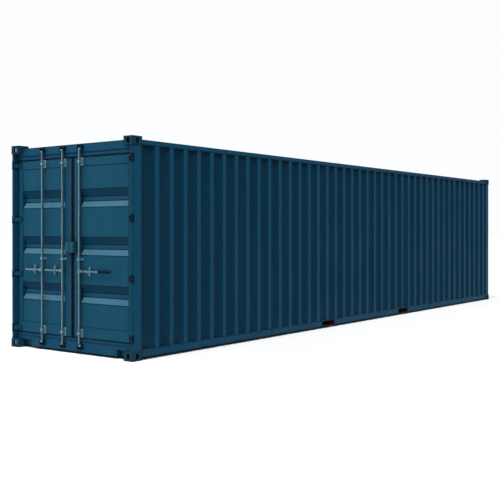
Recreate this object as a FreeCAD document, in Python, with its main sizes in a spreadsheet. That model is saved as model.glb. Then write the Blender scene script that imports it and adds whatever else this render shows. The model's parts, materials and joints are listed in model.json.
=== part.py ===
"""Forty-foot high-cube shipping container with two hinged doors and three lock rods.

Frame: +X runs from the door end to the blank end, +Y from the right side to the left side as
seen by someone who faces the doors, +Z up. The origin is the middle of the base, on the ground.
Near a corner, places are given as three distances: in from the end, in from the side, and up.
"""

import FreeCAD, Part
import math
import os
import re
import Sketcher

# Every driving size, in millimetres or degrees, with what it measures.
SIZES = {
    # whole container
    "overall_length": (12192, "length over the corner castings"),
    "overall_width": (2438, "width over the corner castings"),
    "overall_height": (2896, "height over the corner castings"),
    # corner castings
    "casting_length": (178, "casting, along the container"),
    "casting_width": (162, "casting, across the container"),
    "casting_height": (118, "casting, up"),
    "casting_plate": (28, "thickness of the casting's top and bottom plates"),
    "casting_wall": (15, "thickness of the casting's outer walls"),
    "casting_inner_wall": (10, "thickness of the casting's two inner walls"),
    "twist_slot_length": (124.5, "twistlock slot, end to end"),
    "twist_slot_width": (63.5, "twistlock slot, side to side"),
    "twist_from_end": (103.5, "middle of the twistlock slot, in from the end"),
    "twist_from_side": (89.5, "middle of the twistlock slot, in from the side"),
    "hook_slot_height": (79, "hook slot in the casting's two outer walls"),
    "hook_slot_width": (50, "width of the hook slot"),
    # shell
    "skin_inset": (8, "posts and rails stand this far inside the castings"),
    "wall_inset": (10, "ridges of the walls stand this far inside the castings"),
    "post_plate": (6, "plate of the corner posts"),
    "post_face": (46, "outer part of a door post, in from the side of the container"),
    "post_stop_width": (87, "inner part of a door post, which the door shuts against"),
    "stop_gap": (6, "closed door to the door post behind it"),
    "front_post_width": (90, "front post, across the container"),
    "sill_bottom": (30, "underside of both sills"),
    "floor_top": (211, "top of floor and sills"),
    "floor_thickness": (28, "floor boards"),
    "sill_plate": (5, "plate of the sills and headers"),
    "rod_clearance": (6, "lock rods to the faces of the door sill and header"),
    "sill_lip": (43, "upper, set-back part of the door sill"),
    "sill_recess_depth": (60, "recess of the sill beside a casting"),
    "sill_recess_width": (190, "width of that recess"),
    "header_drop": (42, "headers, top rails and roof, below the tops of the castings"),
    "header_height": (115, "upper part of the door header"),
    "header_lip": (54, "lower, set-back part of the door header"),
    "lip_inset": (8, "set-back of that lower part and of the sill's upper part"),
    "front_header_height": (100, "front header"),
    "rail_bottom": (34, "underside of the bottom rails"),
    "bottom_rail_height": (96, "bottom side rail"),
    "bottom_rail_width": (50, "bottom side rail"),
    "top_rail_height": (64, "top side rail"),
    "top_rail_width": (60, "top side rail"),
    "rail_wall": (4.5, "wall of the side rails"),
    # pressed sheets
    "wall_sheet": (2, "thickness of wall and roof sheets"),
    "wall_pitch": (285, "ridge to ridge on the side walls"),
    "wall_crest": (76, "flat top of a side wall ridge"),
    "wall_trough": (74, "flat bottom of a side wall trough"),
    "wall_depth": (36, "depth of the wall's waves"),
    "wall_lead": (148, "plain strip between door post and first wave"),
    "front_pitch": (250, "ridge to ridge on the front wall"),
    "front_crest": (90, "flat top of a front wall ridge"),
    "front_trough": (90, "flat bottom of a front wall trough"),
    "front_inset": (20, "ridges of the front wall, in from the end"),
    "roof_pitch": (209, "ridge to ridge on the roof"),
    "roof_crest": (91, "flat top of a roof ridge"),
    "roof_trough": (66, "flat bottom of a roof trough"),
    "roof_depth": (20, "depth of the roof's waves"),
    # underframe
    "member_height": (150, "cross member"),
    "member_flange": (45, "flange of a cross member"),
    "member_plate": (4.5, "plate of a cross member"),
    "member_pitch": (300, "cross member to cross member"),
    "fork_spacing": (2840, "fork pocket to fork pocket"),
    "fork_shift": (108, "middle of the two pockets, towards the front wall"),
    "fork_width": (400, "clear width of a fork pocket"),
    "fork_plate": (5, "plate of a fork pocket"),
    # doors
    "door_inset": (85, "outer face of the doors, in from the end"),
    "door_thickness": (50, "door leaf"),
    "door_margin": (58, "hinge edge of a door, in from the side"),
    "door_foot_gap": (12, "door leaf to the sill below it"),
    "door_head_gap": (13, "door leaf to the header above it"),
    "seam_gap": (24, "gap between the door leaves"),
    "hinge_stile_width": (100, "upright of a door frame at the hinges"),
    "seam_stile_width": (145, "upright of a door frame at the seam"),
    "top_member": (121, "top member of a door frame"),
    "bottom_member": (148, "bottom member of a door frame"),
    "panel_step": (3, "sheet of the door panels, behind the frame's face"),
    "door_sheet": (3, "thickness of that sheet"),
    "recess_depth": (36, "depth of the pressed recesses"),
    "recess_edge": (3, "recess to the uprights of the door frame"),
    "recess_upper_slope": (88, "height of a recess's upper slope"),
    "recess_flat": (74, "height of a recess's flat bottom"),
    "recess_lower_slope": (74, "height of a recess's lower slope"),
    "recess_end_slope": (12, "length of a recess's end slopes"),
    "recess_foot": (475, "lowest recess, above the bottom of the door"),
    "recess_head": (440, "highest recess, below the top of the door"),
    "gasket_front": (10, "front of the gasket, behind the door face"),
    "gasket_depth": (35, "gasket, through the door's thickness"),
    "gasket_lip": (6, "gasket, beyond the edges of the leaf"),
    # hinges
    "pin_place": (14, "hinge pin axis, in from the end and from the side"),
    "pin_radius": (8, "hinge pin"),
    "pin_play": (0.3, "hinge pin to knuckle, and knuckle to lower lug"),
    "knuckle_radius": (12, "hinge knuckle"),
    "knuckle_height": (70, "hinge knuckle"),
    "lug_thickness": (12, "hinge lug"),
    "lug_gap": (74, "lower lug to upper lug"),
    "lug_depth": (32, "hinge lug, along the container"),
    "lug_width": (42, "hinge lug, across the container"),
    "notch_depth": (36, "notch of the door post's corner at a hinge"),
    "notch_reach": (90, "opening of the post's inner side for a hinge's arm"),
    "hinge_foot": (56, "lowest hinge, above the bottom of the door"),
    "hinge_head": (59, "highest hinge, below the top of the door"),
    "arm_thickness": (12, "arm of a hinge blade"),
    "arm_angle": (35, "arm of a hinge blade, from straight back"),
    "strap_thickness": (10, "strap of a hinge blade on the door's face"),
    "strap_length": (81, "strap of a hinge blade on the door's face"),
    # lock rods
    "rod_radius": (16, "lock rod"),
    "rod_standoff": (37, "lock rod axis, out from the face of the doors"),
    "rod_bottom": (106, "lower end of the lock rods"),
    "rod_head": (57, "upper end of the lock rods, below the header's top"),
    "inner_rod_place": (170, "each door's inner rod, from the middle of the container"),
    "outer_rod_place": (596, "left door's outer rod, from the middle of the container"),
    "cam_reach": (34, "cam at a rod's end, from the rod's axis"),
    "cam_width": (24, "cam at a rod's end"),
    "keeper_plate": (8, "jaws of a keeper"),
    "keeper_gap": (8, "cam's tip to the keeper's far jaw"),
    "keeper_near_gap": (12, "rod to the keeper's near jaw"),
    "keeper_reach": (34, "keeper jaws, out from the sill's face"),
    "keeper_base": (34, "base of a keeper, up"),
    "keeper_end_gap": (6, "end of the rod to the keeper's base"),
    "bracket_height": (112, "base plate of the upper and lower rod brackets"),
    "bracket_width": (82, "base plate of the upper and lower rod brackets"),
    "middle_bracket_height": (36, "base plate of the middle rod brackets"),
    "middle_bracket_width": (96, "base plate of the middle rod brackets"),
    "bracket_plate": (6, "base plate of a rod bracket"),
    "bracket_wall": (4.5, "bearing block round the rod"),
    "bracket_depth": (30, "bearing block, along the rod"),
    "bracket_play": (0.4, "rod to bearing block"),
    "bracket_edge_gap": (5, "upper and lower brackets, to the edges of the door"),
    "middle_bracket_drop": (60, "middle brackets, below the middle recess"),
    "collar_radius": (22, "collar on a rod"),
    "collar_height": (12, "collar on a rod"),
    # handles
    "handle_drop": (222, "handles, below the middle recess"),
    "handle_thickness": (8, "handle bar"),
    "handle_width": (26, "handle bar"),
    "handle_pin_reach": (42, "handle pin, from the rod's axis"),
    "handle_pin_radius": (6, "handle pin"),
    "handle_play": (2, "handle bar to the hub's lugs"),
    "hub_height": (70, "hub of a rod"),
    "lug_height": (35, "lugs of a hub, which hold the handle's pin"),
    "hub_plate": (8, "lugs of a hub"),
    "right_handle_reach": (585, "right handle, from the rod's axis"),
    "left_handle_reach": (369, "left handles, from the rod's axis"),
    "retainer_reach": (180, "handle retainers, from the rod's axis"),
    "retainer_width": (44, "handle retainer"),
    "retainer_height": (140, "handle retainer"),
    "ledge_gap": (5, "handle to the ledge under it"),
    "ledge_reach": (38, "ledge of a retainer"),
    # lock box
    "lock_box_rise": (27, "underside of the lock box, above the middle recess's bottom edge"),
    "lock_box_height": (152, "lock box"),
    "lock_box_width": (156, "lock box, both halves together"),
    "lock_box_depth": (69, "lock box, out from the door's face"),
    "lock_box_wall": (5, "wall of the lock box"),
    "lock_box_gap": (10, "gap between the halves of the lock box"),
    "lock_eye_height": (46, "eye plate for the padlock"),
    "lock_eye_width": (41, "that plate, along the container"),
    "lock_eye_radius": (8, "hole of that plate"),
}

doc = FreeCAD.newDocument("ShippingContainer")
cells = doc.addObject("Spreadsheet::Sheet", "Sizes")
for row, (alias, (size, meaning)) in enumerate(SIZES.items(), start=1):
    cells.set(f"A{row}", meaning)
    cells.set(f"B{row}", str(size))
    cells.setAlias(f"B{row}", alias)
doc.recompute()

ALONG_X = FreeCAD.Rotation(FreeCAD.Vector(0, 1, 0), 90)
ALONG_Y = FreeCAD.Rotation(FreeCAD.Vector(1, 0, 0), -90)
ALONG_Z = FreeCAD.Rotation()
SUB_PARTS = []


def linked(text):
    """The expression with each size's name pointing at its cell."""
    return re.sub(r"[a-z]\w*", lambda word: ("Sizes." if word[0] in SIZES else "") + word[0], text)


def bind(item, place, text):
    """Ties one property of an object to an expression of sizes."""
    item.setExpression(place, linked(text))


def sub_part(item, name):
    """Marks an object as a finished sub-part and gives it the name of its file."""
    item.Label = name
    SUB_PARTS.append(item)
    return item


# ---------------------------------------------------------------- primitives and booleans


def box(name, x, y, z):
    """A block between a low and a high bound on each axis."""
    block = doc.addObject("Part::Box", name)
    for axis, side, (low, high) in zip("xyz", ("Length", "Width", "Height"), (x, y, z)):
        bind(block, f"Placement.Base.{axis}", low)
        bind(block, side, f"({high}) - ({low})")
    return block


def cylinder(name, start, length, radius, turn=ALONG_Z):
    """A round bar from a start point, along +Z, or along +X or +Y when turned."""
    bar = doc.addObject("Part::Cylinder", name)
    bar.Placement = FreeCAD.Placement(FreeCAD.Vector(), turn)
    for axis, text in zip("xyz", start):
        bind(bar, f"Placement.Base.{axis}", text)
    bind(bar, "Height", length)
    bind(bar, "Radius", radius)
    return bar


def fused(name, *pieces):
    """Pieces welded into one."""
    weld = doc.addObject("Part::MultiFuse", name)
    weld.Shapes = list(pieces)
    weld.Refine = True
    return weld


def less(name, base, *tools):
    """A base with the tools cut away from it."""
    cut = doc.addObject("Part::Cut", name)
    cut.Base = base
    cut.Tool = tools[0] if len(tools) == 1 else together(name + "_tools", *tools)
    cut.Refine = True
    return cut


def together(name, *pieces):
    """Separate pieces kept as one object."""
    group = doc.addObject("Part::Compound", name)
    group.Links = list(pieces)
    return group


def mirrored(name, source, normal, height="0"):
    """A mirror image about the middle of the container, or about a level plane at a height."""
    twin = doc.addObject("Part::Mirroring", name)
    twin.Source = source
    twin.Normal = normal
    bind(twin, "Base.z", height)
    return twin


ACROSS = FreeCAD.Vector(0, 1, 0)
LENGTHWISE = FreeCAD.Vector(1, 0, 0)
UPRIGHT = FreeCAD.Vector(0, 0, 1)


def from_end(low, high, end="door"):
    """Bounds along X of something between two distances in from an end."""
    if end == "door":
        return f"{low} - overall_length / 2", f"{high} - overall_length / 2"
    return f"overall_length / 2 - ({high})", f"overall_length / 2 - ({low})"


def from_side(low, high, side="right"):
    """Bounds along Y of something between two distances in from a side."""
    if side == "right":
        return f"{low} - overall_width / 2", f"{high} - overall_width / 2"
    return f"overall_width / 2 - ({high})", f"overall_width / 2 - ({low})"


def between_sides(margin):
    """Bounds along Y that leave the same margin at both sides."""
    return f"{margin} - overall_width / 2", f"overall_width / 2 - ({margin})"


def between_ends(margin):
    """Bounds along X that leave the same margin at both ends."""
    return f"{margin} - overall_length / 2", f"overall_length / 2 - ({margin})"


# ---------------------------------------------------------------- sketches


def plane(body, role):
    """One of a body's own origin planes or axes."""
    return next(item for item in body.Origin.OriginFeatures if item.Role == role)


def outline(body, name, corners):
    """A closed sketch on the body's XY plane whose corners are tied to the sheet."""
    sketch = body.newObject("Sketcher::SketchObject", name)
    sketch.AttachmentSupport = (plane(body, "XY_Plane"), [""])
    sketch.MapMode = "FlatFace"
    count = len(corners)
    ring = [
        FreeCAD.Vector(100 * math.cos(2 * math.pi * i / count), 100 * math.sin(2 * math.pi * i / count), 0)
        for i in range(count)
    ]
    for i in range(count):
        sketch.addGeometry(Part.LineSegment(ring[i], ring[(i + 1) % count]))
    for i in range(count):
        sketch.addConstraint(Sketcher.Constraint("Coincident", i, 2, (i + 1) % count, 1))
    for i, corner in enumerate(corners):
        for kind, text, start in zip(("DistanceX", "DistanceY"), corner, (ring[i].x, ring[i].y)):
            tie = sketch.addConstraint(Sketcher.Constraint(kind, -1, 1, i, 1, start))
            bind(sketch, f"Constraints[{tie}]", text)
    return sketch


def padded(body, name, corners, height):
    """A sketch padded up from the body's XY plane."""
    pad = body.newObject("PartDesign::Pad", name)
    pad.Profile = outline(body, name + "_outline", corners)
    bind(pad, "Length", height)
    return pad


def waved_sheet(name, wave, depth, lead, count, span, height):
    """A pressed sheet: a plain strip, a row of equal waves, and a plain strip up to the span.

    wave holds the names of the pitch, crest and trough. The ridges face the sketch's -Y.
    """
    pitch, crest, trough = wave
    slope = f"({pitch} - {crest} - {trough}) / 2"
    body = doc.addObject("PartDesign::Body", name)
    line = [
        (lead, depth),
        (f"{lead} + {trough} / 2", depth),
        (f"{lead} + {trough} / 2 + {slope}", "0"),
        (f"{lead} + {trough} / 2 + {slope} + {crest}", "0"),
        (f"{lead} + {pitch} - {trough} / 2", depth),
        (f"{lead} + {pitch}", depth),
    ]
    back = [(along, f"{across} + wall_sheet") for along, across in reversed(line)]
    single = padded(body, name + "_wave", line + back, height)
    doc.recompute()
    row = body.newObject("PartDesign::LinearPattern", name + "_waves")
    row.Originals = [single]
    row.Direction = (plane(body, "X_Axis"), [""])
    row.Mode = "Spacing"
    bind(row, "Offset", pitch)
    bind(row, "Occurrences", count)
    body.Tip = row
    doc.recompute()
    for label, low, high in (
        ("_lead", "0", lead),
        ("_tail", f"{lead} + {count} * {pitch}", span),
    ):
        strip = [(low, depth), (high, depth), (high, f"{depth} + wall_sheet"), (low, f"{depth} + wall_sheet")]
        body.Tip = padded(body, name + label, strip, height)
    return body


# ---------------------------------------------------------------- corner castings


def stadium(name, centre, size, through, run):
    """A round-ended slot cutter. size is its length, width and reach; the axes are x, y or z."""
    length, width, reach = size
    middle = dict(zip("xyz", centre))
    bounds = {axis: (f"({text}) - {width} / 2", f"({text}) + {width} / 2") for axis, text in middle.items()}
    half_run = f"({length} - {width}) / 2"
    bounds[run] = (f"({middle[run]}) - {half_run}", f"({middle[run]}) + {half_run}")
    bounds[through] = (f"({middle[through]}) - {reach} / 2", f"({middle[through]}) + {reach} / 2")
    turn = {"x": ALONG_X, "y": ALONG_Y, "z": ALONG_Z}[through]
    ends = []
    for number, place in enumerate(bounds[run]):
        start = dict(middle)
        start[run] = place
        start[through] = bounds[through][0]
        ends.append(cylinder(f"{name}_end_{number}", [start[a] for a in "xyz"], reach, f"{width} / 2", turn))
    return fused(name, box(name + "_middle", bounds["x"], bounds["y"], bounds["z"]), *ends)


def make_castings():
    """Eight hollow corner castings with a twistlock slot below or above and two hook slots."""
    x = from_end("0", "casting_length")
    y = from_side("0", "casting_width")
    shell = box("casting_block", x, y, ("0", "casting_height"))
    hollow = box(
        "casting_hollow",
        from_end("casting_wall", "casting_length - casting_inner_wall"),
        from_side("casting_wall", "casting_width - casting_inner_wall"),
        ("casting_plate", "casting_height - casting_plate"),
    )
    twist = stadium(
        "casting_twist_slot",
        (
            "twist_from_end - overall_length / 2",
            "twist_from_side - overall_width / 2",
            "casting_plate / 2",
        ),
        ("twist_slot_length", "twist_slot_width", "2 * casting_plate"),
        through="z",
        run="x",
    )
    end_hook = stadium(
        "casting_end_slot",
        ("-overall_length / 2", "casting_width / 2 - overall_width / 2", "casting_height / 2"),
        ("hook_slot_height", "hook_slot_width", "3 * casting_wall"),
        through="x",
        run="z",
    )
    side_hook = stadium(
        "casting_side_slot",
        ("casting_length / 2 - overall_length / 2", "-overall_width / 2", "casting_height / 2"),
        ("hook_slot_height", "hook_slot_width", "3 * casting_wall"),
        through="y",
        run="z",
    )
    first = less("casting", shell, hollow, twist, end_hook, side_hook)
    left = mirrored("casting_left", first, ACROSS)
    front = mirrored("casting_front", first, LENGTHWISE)
    far = mirrored("casting_front_left", left, LENGTHWISE)
    bottom = sub_part(together("castings_below", first, left, front, far), "bottom_corner_castings")
    sub_part(mirrored("castings_above", bottom, UPRIGHT, "overall_height / 2"), "top_corner_castings")


# ---------------------------------------------------------------- posts, headers, sills, rails

POST_SPAN = ("casting_height", "overall_height - casting_height")
POST_STOP = "(door_inset + door_thickness + stop_gap)"
ROD_INSET = "(door_inset - rod_standoff)"
GATE_FACE = f"({ROD_INSET} + rod_radius + rod_clearance)"
LIP_FACE = f"({GATE_FACE} + lip_inset)"
HEADER_TOP = "(overall_height - header_drop)"
HEADER_BOTTOM = f"({HEADER_TOP} - header_height - header_lip)"
SILL_FACE_TOP = "(floor_top - sill_lip)"
DOOR_TOP = f"({HEADER_BOTTOM} - door_head_gap)"
DOOR_BOTTOM = "(floor_top + door_foot_gap)"
SHEET_FACE = "(door_inset + panel_step)"
RAIL_TOP = "(rail_bottom + bottom_rail_height)"
WALL_TOP = f"({HEADER_TOP} - top_rail_height)"


def spread(low, high, count, number):
    """One of several equally spaced places from a low one to a high one."""
    return f"({low} + {number} * ({high} - {low}) / {count - 1})"


def hinge_heights():
    """Middle heights of a door's four hinges."""
    low, high = f"({DOOR_BOTTOM} + hinge_foot)", f"({DOOR_TOP} - hinge_head)"
    return [spread(low, high, 4, number) for number in range(4)]


def make_door_posts():
    """Door posts: an outer part along the edge and a wider inner part that the door shuts against.

    At each hinge the outer corner is notched, and the inner side is open for the hinge's arm.
    """
    skin = "skin_inset"
    outer = box("door_post_outer", from_end(skin, "casting_length"), from_side(skin, "post_face"), POST_SPAN)
    inner = box(
        "door_post_stop",
        from_end(POST_STOP, "casting_length"),
        from_side(skin, f"{skin} + post_stop_width"),
        POST_SPAN,
    )
    outer_bore = box(
        "door_post_outer_bore",
        from_end(f"{skin} + post_plate", "casting_length - post_plate"),
        from_side(f"{skin} + post_plate", "post_face - post_plate"),
        POST_SPAN,
    )
    inner_bore = box(
        "door_post_stop_bore",
        from_end(f"{POST_STOP} + post_plate", "casting_length - post_plate"),
        from_side(f"{skin} + post_plate", f"{skin} + post_stop_width - post_plate"),
        POST_SPAN,
    )
    half = "(lug_gap / 2 + lug_thickness)"
    notches = []
    for number, height in enumerate(hinge_heights()):
        z = (f"{height} - {half}", f"{height} + {half}")
        corner = box(f"post_notch_{number}", from_end("0", "notch_depth"), from_side("0", "door_margin"), z)
        inner_side = from_side(f"{skin} + post_plate", "door_margin")
        opening = box(f"post_opening_{number}", from_end("0", "notch_reach"), inner_side, z)
        notches += [corner, opening]
    right = less("door_post", fused("door_post_plates", outer, inner), outer_bore, inner_bore, *notches)
    sub_part(right, "right_door_post")
    sub_part(mirrored("door_post_left", right, ACROSS), "left_door_post")


def make_front_posts():
    """Posts of the blank end, as open-ended tubes between the castings."""
    outer = box(
        "front_post_tube",
        from_end("skin_inset", "casting_length", "front"),
        from_side("skin_inset", "skin_inset + front_post_width"),
        POST_SPAN,
    )
    bore = box(
        "front_post_bore",
        from_end("skin_inset + post_plate", "casting_length - post_plate", "front"),
        from_side("skin_inset + post_plate", "skin_inset + front_post_width - post_plate"),
        POST_SPAN,
    )
    right = sub_part(less("front_post", outer, bore), "right_front_post")
    sub_part(mirrored("front_post_left", right, ACROSS), "left_front_post")


def make_door_header():
    """Door header: a tube between the castings, over a set-back lip between the posts."""
    upper_bottom = f"({HEADER_TOP} - header_height)"
    inside_posts = between_sides("post_face")
    outer = fused(
        "door_header_outer",
        box(
            "door_header_tube",
            from_end(GATE_FACE, "casting_length"),
            between_sides("casting_width"),
            (upper_bottom, HEADER_TOP),
        ),
        box(
            "door_header_ends",
            from_end(GATE_FACE, POST_STOP),
            inside_posts,
            (upper_bottom, "overall_height - casting_height"),
        ),
        box("door_header_lip", from_end(LIP_FACE, POST_STOP), inside_posts, (HEADER_BOTTOM, upper_bottom)),
    )
    bore = box(
        "door_header_bore",
        from_end(f"{GATE_FACE} + sill_plate", "casting_length - sill_plate"),
        between_sides("casting_width"),
        (f"{upper_bottom} + sill_plate", f"{HEADER_TOP} - sill_plate"),
    )
    relief = box(
        "door_header_relief",
        from_end(f"{LIP_FACE} + sill_plate", POST_STOP),
        inside_posts,
        (f"{HEADER_BOTTOM} + sill_plate", upper_bottom),
    )
    sub_part(less("door_header", outer, bore, relief), "door_header")


def make_door_sill():
    """Door sill: a channel between the castings, with a band and a set-back lip over them."""
    inside_posts = between_sides("post_face")
    inside_stops = between_sides("skin_inset + post_stop_width")
    beside_recess = between_sides("casting_width + sill_recess_width")
    back = "casting_length - sill_plate"
    outer = fused(
        "door_sill_outer",
        box(
            "door_sill_front",
            from_end(GATE_FACE, "casting_length"),
            beside_recess,
            ("sill_bottom", SILL_FACE_TOP),
        ),
        box(
            "door_sill_back",
            from_end(f"{GATE_FACE} + sill_recess_depth", "casting_length"),
            between_sides("casting_width"),
            ("sill_bottom", "casting_height"),
        ),
        box(
            "door_sill_band",
            from_end(GATE_FACE, POST_STOP),
            inside_posts,
            ("casting_height", SILL_FACE_TOP),
        ),
        box("door_sill_lip", from_end(LIP_FACE, POST_STOP), inside_posts, (SILL_FACE_TOP, "floor_top")),
        box(
            "door_sill_top",
            from_end(POST_STOP, "casting_length"),
            inside_stops,
            ("casting_height", "floor_top"),
        ),
    )
    hollows = [
        box(
            "door_sill_hollow",
            from_end(f"{GATE_FACE} + sill_plate", back),
            between_sides("casting_width + sill_recess_width + sill_plate"),
            ("sill_bottom", f"{SILL_FACE_TOP} - sill_plate"),
        ),
        box(
            "door_sill_recess_hollow",
            from_end(f"{GATE_FACE} + sill_recess_depth + sill_plate", back),
            between_sides("casting_width + sill_plate"),
            ("sill_bottom", "casting_height - sill_plate"),
        ),
        box(
            "door_sill_lip_hollow",
            from_end(f"{LIP_FACE} + sill_plate", back),
            between_sides("skin_inset + post_stop_width + sill_plate"),
            ("casting_height + sill_plate", "floor_top - sill_plate"),
        ),
    ]
    sub_part(less("door_sill", outer, *hollows), "door_sill")


def make_front_beams():
    """Header and sill of the blank end, each a tube with wings that reach the posts."""
    x = from_end("skin_inset", "casting_length", "front")
    bore_x = from_end("skin_inset + sill_plate", "casting_length - sill_plate", "front")
    wings_y = between_sides("skin_inset + front_post_width")
    bottom = f"({HEADER_TOP} - front_header_height)"
    header = fused(
        "front_header_outer",
        box("front_header_tube", x, between_sides("casting_width"), (bottom, HEADER_TOP)),
        box("front_header_wings", x, wings_y, (bottom, "overall_height - casting_height")),
    )
    header_bore = box(
        "front_header_bore",
        bore_x,
        between_sides("casting_width"),
        (f"{bottom} + sill_plate", f"{HEADER_TOP} - sill_plate"),
    )
    sub_part(less("front_header", header, header_bore), "front_header")
    sill = fused(
        "front_sill_outer",
        box("front_sill_tube", x, between_sides("casting_width"), ("sill_bottom", "floor_top")),
        box("front_sill_wings", x, wings_y, ("casting_height", "floor_top")),
    )
    sill_bore = box(
        "front_sill_bore",
        bore_x,
        between_sides("casting_width"),
        ("sill_bottom + sill_plate", "floor_top - sill_plate"),
    )
    sub_part(less("front_sill", sill, sill_bore), "front_sill")


def fork_bounds(number, extra):
    """Bounds along X of a fork pocket, widened by an extra at both edges."""
    middle = f"(fork_shift + {(-0.5, 0.5)[number]} * fork_spacing)"
    return f"{middle} - fork_width / 2 - {extra}", f"{middle} + fork_width / 2 + {extra}"


POCKET_HEIGHT = ("rail_bottom + rail_wall", f"{RAIL_TOP} - rail_wall")


def make_rails():
    """Side rails: tubes between the castings, the lower ones cut through at the fork pockets."""
    x = between_ends("casting_length")
    tube = box(
        "bottom_rail_tube",
        x,
        from_side("skin_inset", "skin_inset + bottom_rail_width"),
        ("rail_bottom", RAIL_TOP),
    )
    bore = box(
        "bottom_rail_bore",
        x,
        from_side("skin_inset + rail_wall", "skin_inset + bottom_rail_width - rail_wall"),
        POCKET_HEIGHT,
    )
    cuts = [
        box(
            f"bottom_rail_cut_{number}",
            fork_bounds(number, "fork_plate"),
            from_side("0", "skin_inset + bottom_rail_width"),
            POCKET_HEIGHT,
        )
        for number in range(2)
    ]
    bottom = sub_part(less("bottom_rail", tube, bore, *cuts), "right_bottom_rail")
    sub_part(mirrored("bottom_rail_left", bottom, ACROSS), "left_bottom_rail")
    upper = box(
        "top_rail_tube",
        x,
        from_side("skin_inset", "skin_inset + top_rail_width"),
        (WALL_TOP, HEADER_TOP),
    )
    upper_bore = box(
        "top_rail_bore",
        x,
        from_side("skin_inset + rail_wall", "skin_inset + top_rail_width - rail_wall"),
        (f"{WALL_TOP} + rail_wall", f"{HEADER_TOP} - rail_wall"),
    )
    top = sub_part(less("top_rail", upper, upper_bore), "right_top_rail")
    sub_part(mirrored("top_rail_left", top, ACROSS), "left_top_rail")


# ---------------------------------------------------------------- walls, roof, floor, underframe


def make_side_walls():
    """Side walls with upright waves, from post to post and from rail to rail."""
    span = "(overall_length - 2 * casting_length)"
    count = f"floor(({span} - wall_lead) / wall_pitch)"
    wave = ("wall_pitch", "wall_crest", "wall_trough")
    height = f"{WALL_TOP} - {RAIL_TOP}"
    wall = waved_sheet("side_wall", wave, "wall_depth", "wall_lead", count, span, height)
    bind(wall, "Placement.Base.x", f"-{span} / 2")
    bind(wall, "Placement.Base.y", "wall_inset - overall_width / 2")
    bind(wall, "Placement.Base.z", RAIL_TOP)
    sub_part(wall, "right_side_wall")
    sub_part(mirrored("side_wall_left", wall, ACROSS), "left_side_wall")


def make_front_wall():
    """The blank end's wall with upright waves, between the front posts."""
    span = "(overall_width - 2 * (skin_inset + front_post_width))"
    count = f"floor({span} / front_pitch - 0.5)"
    lead = f"(({span} - {count} * front_pitch) / 2)"
    wave = ("front_pitch", "front_crest", "front_trough")
    height = f"{HEADER_TOP} - front_header_height - floor_top"
    wall = waved_sheet("end_wall", wave, "wall_depth", lead, count, span, height)
    wall.Placement = FreeCAD.Placement(FreeCAD.Vector(), FreeCAD.Rotation(UPRIGHT, 90))
    bind(wall, "Placement.Base.x", "overall_length / 2 - front_inset")
    bind(wall, "Placement.Base.y", f"-{span} / 2")
    bind(wall, "Placement.Base.z", "floor_top")
    sub_part(wall, "front_wall")


def make_roof():
    """The roof sheet, with waves from side to side between the top rails."""
    span = "(overall_length - 2 * casting_length)"
    count = f"floor({span} / roof_pitch - 0.5)"
    lead = f"(({span} - {count} * roof_pitch) / 2)"
    wave = ("roof_pitch", "roof_crest", "roof_trough")
    width = "(overall_width - 2 * (skin_inset + top_rail_width))"
    roof = waved_sheet("roof", wave, "roof_depth", lead, count, span, width)
    roof.Placement = FreeCAD.Placement(FreeCAD.Vector(), FreeCAD.Rotation(LENGTHWISE, -90))
    bind(roof, "Placement.Base.x", f"-{span} / 2")
    bind(roof, "Placement.Base.y", f"-{width} / 2")
    bind(roof, "Placement.Base.z", HEADER_TOP)
    sub_part(roof, "roof_panel")


def make_floor():
    """The floor's boards as one slab on the cross members."""
    board = box(
        "boards",
        between_ends("casting_length"),
        between_sides("skin_inset + bottom_rail_width"),
        ("floor_top - floor_thickness", "floor_top"),
    )
    sub_part(board, "floor_boards")


def make_fork_pockets():
    """Two flat tubes through the underframe for a forklift's arms."""
    tubes = []
    for number in range(2):
        low, high = POCKET_HEIGHT
        outer = box(
            f"fork_tube_{number}",
            fork_bounds(number, "fork_plate"),
            between_sides("skin_inset"),
            (low, high),
        )
        bore = box(
            f"fork_bore_{number}",
            fork_bounds(number, "0"),
            between_sides("skin_inset"),
            (f"{low} + fork_plate", f"{high} - fork_plate"),
        )
        tubes.append(less(f"fork_pocket_{number}", outer, bore))
    sub_part(together("pockets", *tubes), "fork_pockets")


def make_cross_members():
    """Channels from side to side under the floor, in three bays beside the fork pockets."""
    reach = "(fork_spacing / 2 + fork_width / 2 + fork_plate)"
    inner = "(fork_spacing / 2 - fork_width / 2 - fork_plate)"
    end = "(overall_length / 2 - casting_length)"
    bays = (
        (f"-{end}", f"(fork_shift - {reach})"),
        (f"(fork_shift - {inner})", f"(fork_shift + {inner})"),
        (f"(fork_shift + {reach})", end),
    )
    top = "(floor_top - floor_thickness)"
    z = (f"{top} - member_height", top)
    y = between_sides("skin_inset + bottom_rail_width")
    members = []
    for bay, (low, high) in enumerate(bays):
        body = doc.addObject("PartDesign::Body", f"member_bay_{bay}")
        count = f"(floor(({high} - {low}) / member_pitch + 0.5) - 1)"
        step = f"(({high} - {low}) / ({count} + 1))"
        plate = "member_plate"
        channel = [
            ("0", "0"),
            ("member_flange", "0"),
            ("member_flange", plate),
            (plate, plate),
            (plate, f"member_height - {plate}"),
            ("member_flange", f"member_height - {plate}"),
            ("member_flange", "member_height"),
            ("0", "member_height"),
        ]
        single = padded(body, f"member_{bay}", channel, f"({y[1]}) - ({y[0]})")
        doc.recompute()
        row = body.newObject("PartDesign::LinearPattern", f"members_{bay}")
        row.Originals = [single]
        row.Direction = (plane(body, "X_Axis"), [""])
        row.Mode = "Spacing"
        bind(row, "Offset", step)
        bind(row, "Occurrences", count)
        body.Tip = row
        body.Placement = FreeCAD.Placement(FreeCAD.Vector(), FreeCAD.Rotation(LENGTHWISE, 90))
        bind(body, "Placement.Base.x", f"{low} + {step} - member_flange / 2")
        bind(body, "Placement.Base.y", y[1])
        bind(body, "Placement.Base.z", z[0])
        members.append(body)
    sub_part(together("members", *members), "cross_members")


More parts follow.
